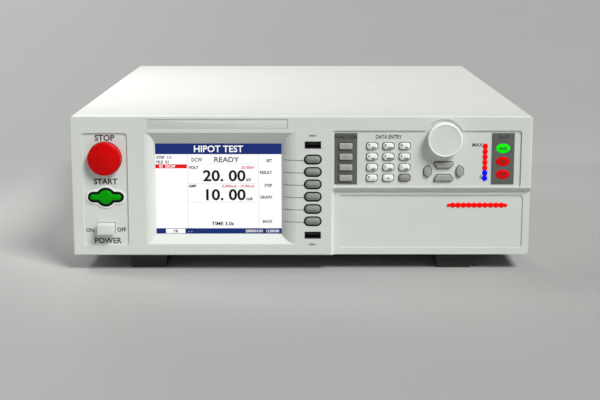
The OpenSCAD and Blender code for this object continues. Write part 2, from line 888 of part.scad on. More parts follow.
module screen_recess() {
    low = window_z - window_h / 2;
    top = window_z + window_h / 2;
    back = glass_y + 2 * cut;
    intersection() {
        translate([0, face_y, foot_h])
            linear_extrude(bezel_h)
                screen_plan(0);
        translate([-case_w / 2, face_y, foot_h])
            rotate([90, 0, 90])
                linear_extrude(case_w)
                    polygon([
                        [-cut, low - slope_low], [0, low - slope_low], [screen_d, low], [back, low],
                        [back, top], [screen_d, top], [0, top + slope_top], [-cut, top + slope_top],
                    ]);
    }
}

// Grooves that lead from the screen's edge to the soft keys
module guide_grooves() {
    for (k = [1:soft_rows])
        translate([0, face_y, foot_h + soft_at(k)[1] - groove_drop - groove_w / 2]) {
            intersection() {
                linear_extrude(groove_w)
                    screen_plan(groove_d);
                translate([window_x + window_w / 2 + groove_start, -cut, -cut])
                    cube([shoulder_r, screen_d, groove_w + 2 * cut]);
            }
            translate([surround_r - 2 * bite, -cut, 0])
                cube([groove_run + 2 * bite, cut + groove_d, groove_w]);
        }
}

// Lower panel: sloped under the ledge and on its left, open to the right and to the bottom
module lower_pocket() {
    hull() {
        slab(-cut, 0)
            pocket_outline(upper_l - lower_slope / 2, ledge_z, lower_r);
        slab(lower_d - eps, lower_d)
            pocket_outline(upper_l + lower_slope / 2, ledge_z - ledge_slope, lower_r - lower_slope / 2);
    }
}

// Open-sided outline with one rounded corner, at its upper left
module pocket_outline(l, top, r) {
    right = case_w / 2 + 2 * cut;
    low = -2 * cut;
    corner = [for (a = [90:360 / hull_fn:180]) [l + r + r * cos(a), top - r + r * sin(a)]];
    polygon(concat([[l, low], [right, low], [right, top]], corner));
}

module shallow_recesses() {
    slab(-cut, recess_d)
        rect_edges(left_x - left_w / 2, left_x + left_w / 2, left_low, left_top_z, recess_r);
    slab(-cut, recess_d) {
        rect_edges(upper_l, upper_r, upper_low_z, upper_top_z, recess_r);
        translate([knob_x, knob_z])
            circle(knob_d / 2 + knob_ring);
    }
    slab(lower_d - cut, lower_d + inner_d)
        rect_edges(upper_l + inner_margin, case_w / 2 - inner_margin, inner_margin,
            ledge_z - ledge_slope - inner_top, recess_r);
    slab(-cut, name_d)
        translate([window_x, bezel_h - name_top - name_h / 2])
            round_rect(name_w, name_h, name_r);
}

// Openings for everything that passes through the front wall
module front_openings() {
    through = lower_back + cut;
    rod([left_x, stop_z], stop_d / 2 + key_gap, -cut, through);
    slab(-cut, through) {
        translate([left_x, start_z])
            start_outline(start_margin);
        translate([left_x, power_z])
            round_rect(power_w + 2 * key_gap, power_h + 2 * key_gap, square_r + key_gap);
        for (k = [1:soft_rows])
            translate(soft_at(k))
                grown_pill(collar_margin);
        for (s = [-1, 1])
            translate(usb_at(s))
                square([usb_w + 2 * fit_gap, usb_h + 2 * fit_gap], center = true);
        for (k = [1:function_rows])
            translate(function_at(k))
                function_opening();
        for (k = [0:len(DATA_KEYS) - 1])
            translate(data_at(k))
                round_rect(data_w + 2 * key_gap, data_h + 2 * key_gap, data_r + key_gap);
        for (k = [0:3])
            translate(arrow_at(k))
                arrow_outline(k, key_gap);
        for (k = [0:2])
            translate(lens_at(k))
                oval(lens_w + 2 * fit_gap, lens_h + 2 * fit_gap);
        lamp_slots();
    }
    rod([knob_x, knob_z], bush_r + rest_gap, -cut, through);
}

module function_opening() {
    round_rect(function_w + 2 * key_gap, function_h + 2 * key_gap, square_r + key_gap);
}

// Slots that the lamps stand in
module lamp_slots() {
    count = red_count + blue_count;
    translate((level_at(0) + level_at(count - 1)) / 2)
        rotate(90)
            pill((count - 1) * lamp_pitch + lamp_d + 2 * fit_gap, lamp_d + 2 * fit_gap);
    translate((row_at(0) + row_at(row_count - 1)) / 2) {
        pill((row_count - 1) * lamp_pitch + lamp_d + 2 * fit_gap, lamp_d + 2 * fit_gap);
        pill(row_tips[0][0] - row_tips[1][0] + tip_d + 2 * fit_gap, tip_d + 2 * fit_gap);
    }
}

module front_bezel() {
    color("#c9cec9")
        difference() {
            union() {
                difference() {
                    union() {
                        difference() {
                            bezel_rim();
                            bezel_hollow();
                        }
                        bezel_skirt();
                        bezel_backing();
                    }
                    screen_recess();
                    lower_pocket();
                    shallow_recesses();
                    guide_grooves();
                }
                bezel_bosses();
                slab(recess_d - start_rim_h, skin)
                    translate([left_x, start_z])
                        start_outline(start_margin + start_rim);
            }
            front_openings();
        }
}

// Case

// Section of the cover: a sheet bent down at both sides
module cover_section(inset) {
    r = cover_r - inset;
    half = case_w / 2 - inset;
    translate([-half, -inset * cut])
        square([2 * half, bezel_h - r - inset + inset * cut]);
    translate([-half + r, bezel_h / 2])
        square([2 * (half - r), bezel_h / 2 - inset]);
    for (x = [-1, 1])
        translate([x * (half - r), bezel_h - inset - r])
            circle(r);
}

module top_cover() {
    vent_len = (vent_count - 1) * vent_pitch;
    vent_y = rear_in - vent_rear - vent_len;
    color("#e6e7e2")
        difference() {
            slab(lip + seam, case_d)
                difference() {
                    cover_section(0);
                    cover_section(cover_t);
                }
            for (k = [0:vent_count - 1])
                translate([-case_w / 2 - cut, face_y + vent_y + k * vent_pitch, foot_h + bezel_h / 2])
                    rotate([0, 90, 0])
                        linear_extrude(case_w + 2 * cut)
                            pill(vent_h, vent_w);
            for (y = screw_ys)
                cross_rod(-case_w / 2 - cut, case_w / 2 + cut, y, screw_z, shank_r + shank_gap);
        }
}

module base_chassis() {
    front = lip + seam;
    flange_y = skirt_d + seam;
    color("#b9bcbe")
        difference() {
            union() {
                block([-inner_half, front, 0], [2 * inner_half, case_d - front, base_t]);
                for (x = [-inner_half, inner_half - base_t])
                    block([x, flange_y, 0], [base_t, rear_in - flange_y, base_t + flange_h]);
                for (p = standoffs())
                    translate([p[0], face_y + p[1], foot_h])
                        cylinder(r = boss_r, h = base_t + standoff_h);
            }
            for (y = screw_ys)
                cross_rod(-case_w / 2, case_w / 2, y, screw_z, shank_r + shank_gap);
            for (p = foot_places())
                translate([p[0], p[1], foot_h - cut])
                    cylinder(r = shank_r + shank_gap, h = base_t + 2 * cut);
        }
}

// Standoffs under the control board's corners
function standoffs() = [for (x = [-1, 1], y = [-1, 1])
    [for (i = [0, 1]) control_at[i] + [x, y][i] * (control_size[i] / 2 - standoff_inset)]];

function foot_places() = [for (x = [-foot_x, foot_x], y = [foot_inset, case_d - foot_inset - foot_l])
    [x, face_y + y + foot_l / 2]];

module feet() {
    color("#2d2b28")
        for (p = foot_places())
            translate([p[0], p[1], 0])
                difference() {
                    intersection() {
                        foot_side(foot_w, foot_l + 2 * cut);
                        rotate(90)
                            foot_side(foot_l, foot_w + 2 * cut);
                    }
                    translate([0, 0, -cut])
                        cylinder(d = foot_well_d, h = foot_h - foot_roof + cut);
                    cylinder(r = shank_r + shank_gap, h = foot_h + cut);
                }
}

// Tapered side view of a foot
module foot_side(w, l) {
    translate([0, l / 2, 0])
        rotate([90, 0, 0])
            linear_extrude(l)
                polygon([
                    [-w / 2 + foot_taper, 0], [w / 2 - foot_taper, 0],
                    [w / 2, foot_h], [-w / 2, foot_h],
                ]);
}

module rear_panel() {
    color("#d8d9d5")
        difference() {
            slab(rear_in, rear_out)
                rect_edges(-inner_half, inner_half, base_t, inner_top_z, cover_r);
            rod([fan_x, rear_z], fan_bore, rear_in - cut, rear_out + cut);
            for (p = fan_holes())
                rod(p, shank_r + shank_gap, rear_in - cut, rear_out + cut);
            slab(rear_in - cut, rear_out + cut) {
                translate([inlet_x, rear_z])
                    square([inlet_w + 2 * fit_gap, inlet_h + 2 * fit_gap], center = true);
                for (s = [-1, 1])
                    translate([port_x, rear_z + s * port_z])
                        square([port_w + 2 * fit_gap, port_h + 2 * fit_gap], center = true);
            }
            rod([output_x, rear_z], output_r + fit_gap, rear_in - cut, rear_out + cut);
            for (p = post_places())
                rod(p, post_r / 2 + fit_gap, rear_in - cut, rear_out + cut);
        }
}

function fan_holes() = [for (x = [-1, 1], z = [-1, 1]) [fan_x + x * screw_off, rear_z + z * screw_off]];

function post_places() = [for (k = [0, 1]) [post_x + k * post_pitch, rear_z]];

// Screw along +Z from under its head
module screw(length) {
    cylinder(r = head_r, h = head_h);
    translate([0, 0, -length])
        cylinder(r = shank_r, h = length + eps);
}

module case_screws() {
    side_l = cover_t + sheet_gap + base_t + screw_grip;
    fan_l = 2 * wire_r + rear_t + 2 * screw_grip;
    color("#8d9093") {
        for (s = [-1, 1], y = screw_ys)
            translate([s * case_w / 2, face_y + y, foot_h + screw_z])
                rotate([0, s * 90, 0])
                    screw(side_l);
        for (p = fan_holes())
            translate([p[0], face_y + rear_out + 2 * wire_r, foot_h + p[1]])
                rotate([-90, 0, 0])
                    screw(fan_l);
    }
}

// Screen

module lcd_screen() {
    color("#f2f5f8")
        slab(glass_y, glass_y + glass_t)
            translate([window_x, window_z])
                square([window_w + 2 * glass_lap, window_h + 2 * glass_lap], center = true);
}

module lcd_module() {
    rim = glass_lap + module_rim;
    color("#9a9fa3")
        difference() {
            slab(glass_y, glass_y + module_t)
                translate([window_x, window_z])
                    round_rect(window_w + 2 * rim, window_h + 2 * rim, module_r);
            slab(glass_y - cut, glass_y + glass_t)
                translate([window_x, window_z])
                    square([window_w + 2 * glass_lap, window_h + 2 * glass_lap], center = true);
        }
}

// Boards and switches behind the front

module key_boards() {
    color("#2f6b46") {
        slab(board_y, board_y + board_t)
            rect_edges(main_board_l, upper_r, main_board_low, main_board_top, board_r);
        slab(board_y, board_y + board_t)
            translate([column_x, window_z])
                round_rect(soft_board_w, 2 * (soft_bosses[1][1] - window_z + boss_r), board_r);
        slab(left_board_y, left_board_y + board_t)
            rect_edges(left_x - left_w / 2, left_x + left_w / 2, left_low, left_top_z, board_r);
    }
}

module key_switches() {
    color("#34373a") {
        for (k = [1:soft_rows])
            key_switch(soft_at(k), soft_switch_y, key_travel, board_y);
        for (k = [1:function_rows])
            key_switch(function_at(k), key_switch_y, key_travel, board_y);
        for (k = [0:len(DATA_KEYS) - 1])
            key_switch(data_at(k), key_switch_y, key_travel, board_y);
        for (k = [0:3])
            key_switch(arrow_at(k), key_switch_y, key_travel, board_y);
        key_switch([left_x, start_z], start_switch_y, start_travel, left_board_y);
    }
}

// Switch behind a large button, with a bore for its stem
module button_switch(place) {
    color("#3a3d40")
        difference() {
            translate([place[0], 0, place[1]])
                slab(button_switch_y, left_board_y)
                    children();
            rod(place, stem_r + stem_gap, button_switch_y - cut,
                button_switch_y + stem_reach + button_travel + rest_gap);
        }
}

module stop_switch() {
    button_switch([left_x, stop_z])
        square(stop_switch_w, center = true);
}

module power_switch() {
    button_switch([left_x, power_z])
        square([power_w, power_h], center = true);
}

module encoder() {
    body_y = skin + encoder_gap;
    color("#7c8083")
        difference() {
            union() {
                rod([knob_x, knob_z], bush_r, recess_d, body_y + eps);
                translate([knob_x, 0, knob_z])
                    slab(body_y, board_y)
                        square(encoder_w, center = true);
            }
            rod([knob_x, knob_z], shaft_r + shaft_gap, recess_d - cut, board_y - shaft_floor);
        }
}

// Black rings round the START button and the soft keys, each with a flange behind the wall
module key_collars() {
    color("#161616") {
        translate([left_x, 0, start_z])
            difference() {
                union() {
                    slab(recess_d - start_rim_h - collar_proud, skin + collar_flange)
                        start_outline(key_gap + start_ring);
                    slab(skin, skin + collar_flange)
                        start_outline(key_gap + start_ring + key_flange);
                }
                slab(-cut, skin + collar_flange + cut)
                    start_outline(key_gap);
            }
        for (k = [1:soft_rows])
            translate([soft_at(k)[0], 0, soft_at(k)[1]])
                difference() {
                    union() {
                        slab(-collar_proud, skin + collar_flange)
                            grown_pill(key_gap + collar_ring);
                        slab(skin, skin + collar_flange)
                            grown_pill(key_gap + collar_ring + key_flange);
                    }
                    slab(-cut, skin + collar_flange + cut)
                        grown_pill(key_gap);
                }
    }
}

// Outline of a soft key with a margin
module grown_pill(grow) {
    pill(soft_w + 2 * grow, soft_h + 2 * grow);
}

module legend_plates() {
    color("#5f5f5c")
        slab(recess_d - plate_t, recess_d)
            difference() {
                for (x = [function_x, status_x])
                    translate([x, plate_z])
                        square([plate_w, plate_h], center = true);
                for (k = [1:function_rows])
                    translate(function_at(k))
                        function_opening();
                for (k = [0:2])
                    translate(lens_at(k))
                        oval(lens_w + 2 * fit_gap, lens_h + 2 * fit_gap);
            }
}

// Status lens with a flange behind the wall and a light pipe to the board
module status_lens(k) {
    translate([lens_at(k)[0], 0, lens_at(k)[1]]) {
        slab(recess_d - lamp_proud, skin + flange_t)
            oval(lens_w, lens_h);
        slab(skin, skin + flange_t)
            oval(lens_w + 2 * key_flange, lens_h + 2 * key_flange);
        slab(skin + flange_t - eps, board_y)
            square([lens_w / 2, lens_h / 2], center = true);
    }
}

module pass_lens() {
    color("#18c418")
        status_lens(0);
}

module fault_lenses() {
    color("#d01818")
        for (k = [1, 2])
            status_lens(k);
}

module red_lamps() {
    color("#e61010") {
        for (k = [0:red_count - 1])
            lamp(level_at(k), lamp_d, recess_d);
        for (k = [0:row_count - 1])
            lamp(row_at(k), lamp_d, lower_d + inner_d);
        for (p = row_tips)
            lamp(p, tip_d, lower_d + inner_d);
    }
}

module blue_lamps() {
    color("#1414e0")
        for (k = [red_count:red_count + blue_count - 1])
            lamp(level_at(k), lamp_d, recess_d);
}

// Memory-stick socket: shell on the soft-key board with a cavity and a contact tongue
module usb_sockets() {
    shell_t = 1;
    floor_t = 1.5;
    tongue_h = 1.8;
    tongue_drop = 1.6;
    tongue_back = 1.5;
    mouth = 0.6;
    color("#141414")
        for (s = [-1, 1])
            translate([usb_at(s)[0], 0, usb_at(s)[1]]) {
                difference() {
                    slab(mouth, board_y)
                        square([usb_w, usb_h], center = true);
                    slab(-cut, board_y - floor_t)
                        square([usb_w - 2 * shell_t, usb_h - 2 * shell_t], center = true);
                }
                slab(mouth + tongue_back, board_y - floor_t + eps)
                    translate([0, usb_h / 2 - shell_t - tongue_drop])
                        square([usb_w - 4 * shell_t, tongue_h], center = true);
            }
}

// Keys and buttons

module soft_key(k) {
    color("#8c918a")
        key(soft_at(k), -soft_proud, collar_seat_y, key_travel)
            pill(soft_w, soft_h, $fn = hull_fn);
}

module function_key(k) {
    color("#aaa8a5")
        key(function_at(k), recess_d - key_proud, seat_y, key_travel)
            round_rect(function_w, function_h, square_r, $fn = hull_fn);
}

module data_key(k) {
    last = len(DATA_KEYS) - 1;
    color(k == last ? "#9b9a97" : "#e6eae6")
        key(data_at(k), recess_d - key_proud, seat_y, key_travel)
            round_rect(data_w, data_h, data_r, $fn = hull_fn);
}

module arrow_key(k) {
    color("#9fa19c")
        key(arrow_at(k), recess_d - key_proud, seat_y, key_travel)
            arrow_outline(k, 0, $fn = hull_fn);
}

// Disc that stands a little prouder than the bar across it
module start_button() {
    front = recess_d - start_proud;
    back = collar_seat_y + flange_t;
    color("#0a9a0a") {
        translate([left_x, 0, start_z]) {
            cap(front, back)
                circle(d = start_disc, $fn = 48);
            cap(front + start_step, back)
                pill(start_w, start_bar, $fn = hull_fn);
            slab(collar_seat_y, back)
                start_outline(key_flange);
        }
        stem([left_x, start_z], collar_seat_y, start_travel);
    }
}

module power_button() {
    color("#dfe1dc")
        key([left_x, power_z], recess_d - power_proud, seat_y, button_travel)
            round_rect(power_w, power_h, square_r, $fn = hull_fn);
}

// Crowned round button with a flange behind the wall
module stop_button() {
    front = recess_d - stop_proud;
    r = stop_d / 2;
    crown_r = (r * r + stop_crown * stop_crown) / (2 * stop_crown);
    back = seat_y + flange_t;
    color("#d40808")
        turned([left_x, stop_z]) {
            intersection() {
                translate([0, front])
                    square([r, back - front]);
                translate([0, front + crown_r])
                    circle(crown_r, $fn = 128);
            }
            translate([0, seat_y])
                square([r + key_flange, flange_t]);
            translate([0, back - eps])
                square([stem_r, button_switch_y + stem_reach - back]);
        }
}

// Round knob with a rolled front edge and a shallow dished face
module tuning_knob() {
    front = recess_d - knob_h;
    back = recess_d - rest_gap;
    r = knob_d / 2;
    color("#cacfc9")
        turned([knob_x, knob_z]) {
            difference() {
                union() {
                    translate([0, front + knob_edge])
                        square([r, back - front - knob_edge]);
                    translate([0, front])
                        square([r - knob_edge, knob_edge + eps]);
                    translate([r - knob_edge, front + knob_edge])
                        circle(knob_edge);
                }
                translate([-cut, front - cut])
                    square([r - dish_rim + cut, cut + dish_d]);
            }
            translate([0, back - eps])
                square([shaft_r, board_y - 2 * shaft_floor - back]);
        }
}

// Rear fittings

module fan_frame() {
    strut_w = 3.5;
    axis = [fan_x, rear_z];
    color("#1d1e1f")
        difference() {
            union() {
                slab(fan_y, rear_in)
                    translate(axis)
                        difference() {
                            round_rect(fan_w, fan_w, fan_corner_r);
                            circle(fan_bore);
                            for (x = [-1, 1], z = [-1, 1])
                                translate([x * screw_off, z * screw_off])
                                    circle(shank_r + shank_gap);
                        }
                slab(fan_y, fan_y + hub_disc_t)
                    translate(axis)
                        for (a = [0, 120, 240])
                            rotate(a)
                                translate([0, -strut_w / 2])
                                    square([fan_bore + bite, strut_w]);
                rod(axis, hub_r - 2 * bite, fan_y, fan_y + hub_disc_t);
                rod(axis, fan_shaft_r + bearing_wall, fan_y, fan_y + bearing_l);
            }
            rod(axis, fan_shaft_r + shaft_gap, fan_y - cut, fan_y + bearing_l + cut);
        }
}

module fan_rotor() {
    hub_y = fan_y + bearing_l + rest_gap;
    hub_l = fan_d - bearing_l - hub_clear;
    axis = [fan_x, rear_z];
    color("#26282a") {
        rod(axis, fan_shaft_r, fan_y + bite, hub_y + eps);
        rod(axis, hub_r, hub_y, hub_y + hub_l);
        translate([fan_x, face_y + hub_y + hub_l / 2, foot_h + rear_z])
            for (k = [0:blade_count - 1])
                rotate([0, k * 360 / blade_count, 0])
                    translate([hub_r - bite, 0, 0])
                        rotate([blade_pitch, 0, 0])
                            translate([0, -blade_t / 2, -blade_chord / 2])
                                cube([blade_length(), blade_t, blade_chord]);
    }
}

// Length of a blade whose outer corners just reach the tip circle
function blade_length() = sqrt(blade_tip * blade_tip - blade_chord * blade_chord / 4) - hub_r + bite;

// Wire guard: rings on two crossing wires, with an eye at each fan screw
module fan_guard() {
    axis = [fan_x, face_y + rear_out, foot_h + rear_z];
    ring_step = (fan_bore - ring_margin) / ring_count;
    ring_lift = 2.6 * wire_r;
    reach = screw_off * sqrt(2);
    color("#b4b7ba")
        difference() {
            translate(axis)
                rotate([-90, 0, 0]) {
                    for (k = [1:ring_count])
                        translate([0, 0, ring_lift])
                            rotate_extrude()
                                translate([k * ring_step, 0])
                                    circle(wire_r);
                    for (a = [45, 135])
                        rotate(a)
                            translate([-reach, 0, wire_r])
                                rotate([0, 90, 0])
                                    cylinder(r = wire_r, h = 2 * reach);
                    for (x = [-1, 1], z = [-1, 1])
                        translate([x * screw_off, z * screw_off, 0])
                            cylinder(r = shank_r + eye_wall, h = 2 * wire_r);
                }
            for (p = fan_holes())
                rod(p, shank_r + shank_gap, rear_out - cut, rear_out + 4 * wire_r);
        }
}

// Mains inlet with a plug cavity above and a fuse drawer below
module mains_inlet() {
    flange_y = rear_out + inlet_flange;
    flange_r = 2;
    plug_z = rear_z + inlet_h / 2 - plug_margin - plug_h / 2;
    chamfer = 4;
    pin_w = 2;
    pin_h = 4;
    pin_x = 7;
    pin_low = 1;
    pin_up = 3;
    pin_back = 2;
    drawer_w = inlet_w - 4;
    drawer_h = 9;
    drawer_margin = 5;
    drawer_z = rear_z - inlet_h / 2 + drawer_margin + drawer_h / 2;
    joint_w = 0.7;
    joint_d = 1;
    color("#1a1b1c") {
        difference() {
            union() {
                slab(rear_in - inlet_d, rear_out + eps)
                    translate([inlet_x, rear_z])
                        square([inlet_w, inlet_h], center = true);
                slab(rear_out, flange_y)
                    translate([inlet_x, rear_z])
                        round_rect(inlet_w + 2 * inlet_lap, inlet_h + 2 * inlet_lap, flange_r);
            }
            slab(flange_y - plug_d, flange_y + cut)
                translate([inlet_x, plug_z])
                    polygon([
                        [-plug_w / 2, -plug_h / 2], [plug_w / 2, -plug_h / 2],
                        [plug_w / 2, plug_h / 2 - chamfer], [plug_w / 2 - chamfer, plug_h / 2],
                        [chamfer - plug_w / 2, plug_h / 2], [-plug_w / 2, plug_h / 2 - chamfer],
                    ]);
            slab(flange_y - joint_d, flange_y + cut)
                translate([inlet_x, drawer_z])
                    difference() {
                        square([drawer_w, drawer_h], center = true);
                        square([drawer_w - 2 * joint_w, drawer_h - 2 * joint_w], center = true);
                    }
        }
        slab(flange_y - plug_d - eps, flange_y - pin_back)
            translate([inlet_x, plug_z])
                for (p = [[-pin_x, -pin_low], [pin_x, -pin_low], [0, pin_up]])
                    translate(p)
                        square([pin_w, pin_h], center = true);
    }
}

// High-voltage output: ribbed insulator on a flange, bored for the test lead's plug
module hv_output() {
    flange_r = output_r + output_lap;
    flange_l = 3;
    end = rear_out + output_l;
    rib_r = output_r + 2.5;
    rib_l = 2.5;
    color("#7c1f1c")
        difference() {
            turned([output_x, rear_z]) {
                translate([0, rear_in - output_tail])
                    square([output_r, end - rear_in + output_tail]);
                translate([0, rear_out])
                    square([flange_r, flange_l]);
                for (k = [1:3])
                    translate([0, rear_out + flange_l + k * 2 * rib_l - rib_l])
                        square([rib_r, rib_l]);
            }
            rod([output_x, rear_z], output_bore, end - output_depth, end + cut);
        }
}

// Return and earth terminals with a bore for a test plug
module ground_terminals() {
    end = rear_out + post_l;
    collar_l = 3;
    neck_l = 1;
    neck_r = post_r - 1;
    color("#232425")
        for (p = post_places())
            difference() {
                turned(p) {
                    translate([0, rear_in - post_tail])
                        square([post_r / 2, post_tail + rear_t + eps]);
                    translate([0, rear_out])
                        square([post_r + post_lap, collar_l]);
                    translate([0, rear_out + collar_l - eps])
                        square([neck_r, neck_l + 2 * eps]);
                    translate([0, rear_out + collar_l + neck_l])
                        square([post_r, post_l - collar_l - neck_l]);
                }
                rod(p, post_bore, end - post_depth, end + cut);
            }
}

// Interface ports: flange on the panel, trapezoid shell and a contact block
module interface_ports() {
    flange_edge = 2;
    flange_w = port_w + 2 * jack_gap + jack_d + flange_edge;
    flange_z = port_h + 2 * flange_edge;
    flange_l = 1.2;
    flange_r = 1;
    tail = 8;
    color("#a4a8ab")
        for (s = [-1, 1])
            translate([port_x, 0, rear_z + s * port_z]) {
                slab(rear_out, rear_out + flange_l)
                    round_rect(flange_w, flange_z, flange_r);
                slab(rear_in - tail, rear_out + eps)
                    square([port_w, port_h], center = true);
                slab(rear_out + flange_l - eps, rear_out + port_l)
                    port_outline();
                for (x = [-1, 1])
                    translate([x * (port_w / 2 + jack_gap), 0, 0])
                        slab(rear_out + flange_l - eps, rear_out + port_l - bite)
                            circle(d = jack_d, $fn = 6);
            }
}

// Trapezoid with soft corners, wide side up
module port_outline() {
    soft = 1.5;
    lean = 0.8;
    offset(r = soft)
        polygon([
            [-port_w / 2 + soft, port_h / 2 - soft], [port_w / 2 - soft, port_h / 2 - soft],
            [port_w / 2 - soft - lean, soft - port_h / 2], [soft + lean - port_w / 2, soft - port_h / 2],
        ]);
}

// Inner parts

// Laminated core with two windows and a potted winding on its middle leg
module hv_transformer() {
    w = core_size[0];
    d = core_size[1];
    h = core_size[2];
    window = (w - 3 * core_leg) / 2;
    coil_over = 14;
    translate([core_at[0], face_y + core_at[1], foot_h + base_t]) {
        color("#5a5c5f")
            difference() {
                translate([-w / 2, -d / 2, 0])
                    cube([w, d, h]);
                for (x = [-1, 1])
                    translate([x * (core_leg + window) / 2 - window / 2, -d / 2 - cut, core_leg])
                        cube([window, d + 2 * cut, h - 2 * core_leg]);
            }
        color("#9c6b2f")
            translate([-core_leg / 2 - window, -d / 2 - coil_over, core_leg])
                cube([core_leg + 2 * window, d + 2 * coil_over, h - 2 * core_leg]);
    }
}

// Board with a finned heat sink, three capacitors and two connectors
module control_board() {
    sink = [50, 36];
    sink_base = 4;
    fin_h = 22;
    fin_t = 2;
    fin_pitch = 6;
    cap_r = 9;
    cap_h = 30;
    part_gap = 4;
    translate([control_at[0], face_y + control_at[1], foot_h + base_t + standoff_h]) {
        color("#2f6b46")
            translate([-control_size[0] / 2, -control_size[1] / 2, 0])
                cube([control_size[0], control_size[1], board_t]);
        color("#8f9396")
            translate([-sink[0] - part_gap, -sink[1] / 2, board_t - eps]) {
                cube([sink[0], sink[1], sink_base]);
                for (x = [0:fin_pitch:sink[0] - fin_t])
                    translate([x, 0, 0])
                        cube([fin_t, sink[1], sink_base + fin_h]);
            }
        color("#2a2c30")
            for (k = [-1, 0, 1])
                translate([control_size[0] / 4, k * (2 * cap_r + part_gap), board_t - eps])
                    cylinder(r = cap_r, h = cap_h);
    }
}

// Boxed supply with mounting feet along both sides
module power_supply() {
    w = supply_size[0];
    d = supply_size[1];
    h = supply_size[2];
    ear_w = 6;
    ear_t = 2;
    color("#a9adb0")
        translate([supply_at[0], face_y + supply_at[1], foot_h + base_t]) {
            translate([-w / 2 + ear_w, -d / 2, 0])
                cube([w - 2 * ear_w, d, h]);
            translate([-w / 2, -d / 2, 0])
                cube([w, d, ear_t]);
        }
}

front_bezel();
top_cover();
base_chassis();
rear_panel();
feet();
case_screws();
lcd_screen();
lcd_module();
key_boards();
key_switches();
key_collars();
legend_plates();
encoder();
pass_lens();
fault_lenses();
red_lamps();
blue_lamps();
stop_switch();
power_switch();
usb_sockets();
fan_frame();
fan_guard();
mains_inlet();
hv_output();
ground_terminals();
interface_ports();
hv_transformer();
control_board();
power_supply();
fan_rotor();
tuning_knob();
stop_button();
start_button();
power_button();
for (k = [1:soft_rows]) soft_key(k);
for (k = [1:function_rows]) function_key(k);
for (k = [0:len(DATA_KEYS) - 1]) data_key(k);
for (k = [0:3]) arrow_key(k);
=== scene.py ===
"""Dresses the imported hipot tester: finishes, moulded caps, lettering, the lit screen, light and camera.

Panel places are in millimetres: x from the middle, z above the bezel's lower edge, depth behind its face.
"""
import math

import bmesh
import bpy
from mathutils import Matrix, Vector


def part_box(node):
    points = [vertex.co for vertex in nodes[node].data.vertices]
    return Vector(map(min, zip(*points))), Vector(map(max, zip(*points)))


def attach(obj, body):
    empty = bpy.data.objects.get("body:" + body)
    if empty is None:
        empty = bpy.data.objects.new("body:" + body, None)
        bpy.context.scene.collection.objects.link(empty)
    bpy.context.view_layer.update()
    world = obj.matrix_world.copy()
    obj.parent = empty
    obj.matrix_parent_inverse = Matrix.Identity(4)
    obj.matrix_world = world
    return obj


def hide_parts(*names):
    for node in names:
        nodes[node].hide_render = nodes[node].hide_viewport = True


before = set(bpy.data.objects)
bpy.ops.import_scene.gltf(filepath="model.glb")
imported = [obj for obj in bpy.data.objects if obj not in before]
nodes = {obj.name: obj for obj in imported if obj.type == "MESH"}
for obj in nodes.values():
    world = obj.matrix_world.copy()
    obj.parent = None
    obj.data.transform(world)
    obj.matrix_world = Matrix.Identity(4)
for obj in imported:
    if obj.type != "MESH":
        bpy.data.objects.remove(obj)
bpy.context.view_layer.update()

MM = 0.001
FACE_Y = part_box("front_bezel")[0].y
PANEL_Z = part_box("front_bezel")[0].z

# Sizes as in the part's source: depths of the recesses, the plates and the glass, the gap round a key,
# and the screen window's middle, width and height
RECESS = 1.2
PLATE_FRONT = 0.8
GLASS_DEPTH = 8.0
KEY_GAP = 0.45
WINDOW = (-77.9, 62.6, 118.6, 87.0)
# Overlap of pieces that are let into each other
LET_IN = 0.05


def at(x, depth, z):
    """Point of the panel in the shared frame, in metres."""
    return Vector((x * MM, FACE_Y + depth * MM, PANEL_Z + z * MM))


def centre(node):
    """Panel x and z of a node's middle."""
    low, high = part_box(node)
    return (low.x + high.x) / 2 / MM, ((low.z + high.z) / 2 - PANEL_Z) / MM


def front(node):
    """Depth of a node's foremost point."""
    return (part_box(node)[0].y - FACE_Y) / MM


# Materials

# Range of the noise that mottling and gloss run over, and the strength of the grain in the bump
CLOUD_LOW, CLOUD_HIGH = 0.3, 0.7
GRAIN_STRENGTH = 0.35


def linear(code):
    """sRGB hex to linear RGBA."""
    parts = [int(code[i:i + 2], 16) / 255 for i in (1, 3, 5)]
    return tuple(c / 12.92 if c <= 0.04045 else ((c + 0.055) / 1.055) ** 2.4 for c in parts) + (1.0,)


def shaded(colour, factor):
    """Darker or lighter shade of a linear colour."""
    return tuple(min(1.0, c * factor) for c in colour[:3]) + (1.0,)


def add(tree, kind, inputs=None, **settings):
    """Adds a node, sets its properties, and fills or links its inputs."""
    node = tree.nodes.new(kind)
    for key, value in settings.items():
        setattr(node, key, value)
    for key, value in (inputs or {}).items():
        if isinstance(value, bpy.types.NodeSocket):
            tree.links.new(value, node.inputs[key])
        else:
            node.inputs[key].default_value = value
    return node


def bare_material(name):
    """Material with an empty tree. Returns it with its tree and the place on the piece."""
    material = bpy.data.materials.new(name)
    material.use_nodes = True
    tree = material.node_tree
    tree.nodes.clear()
    return material, tree, add(tree, "ShaderNodeTexCoord").outputs["Object"]


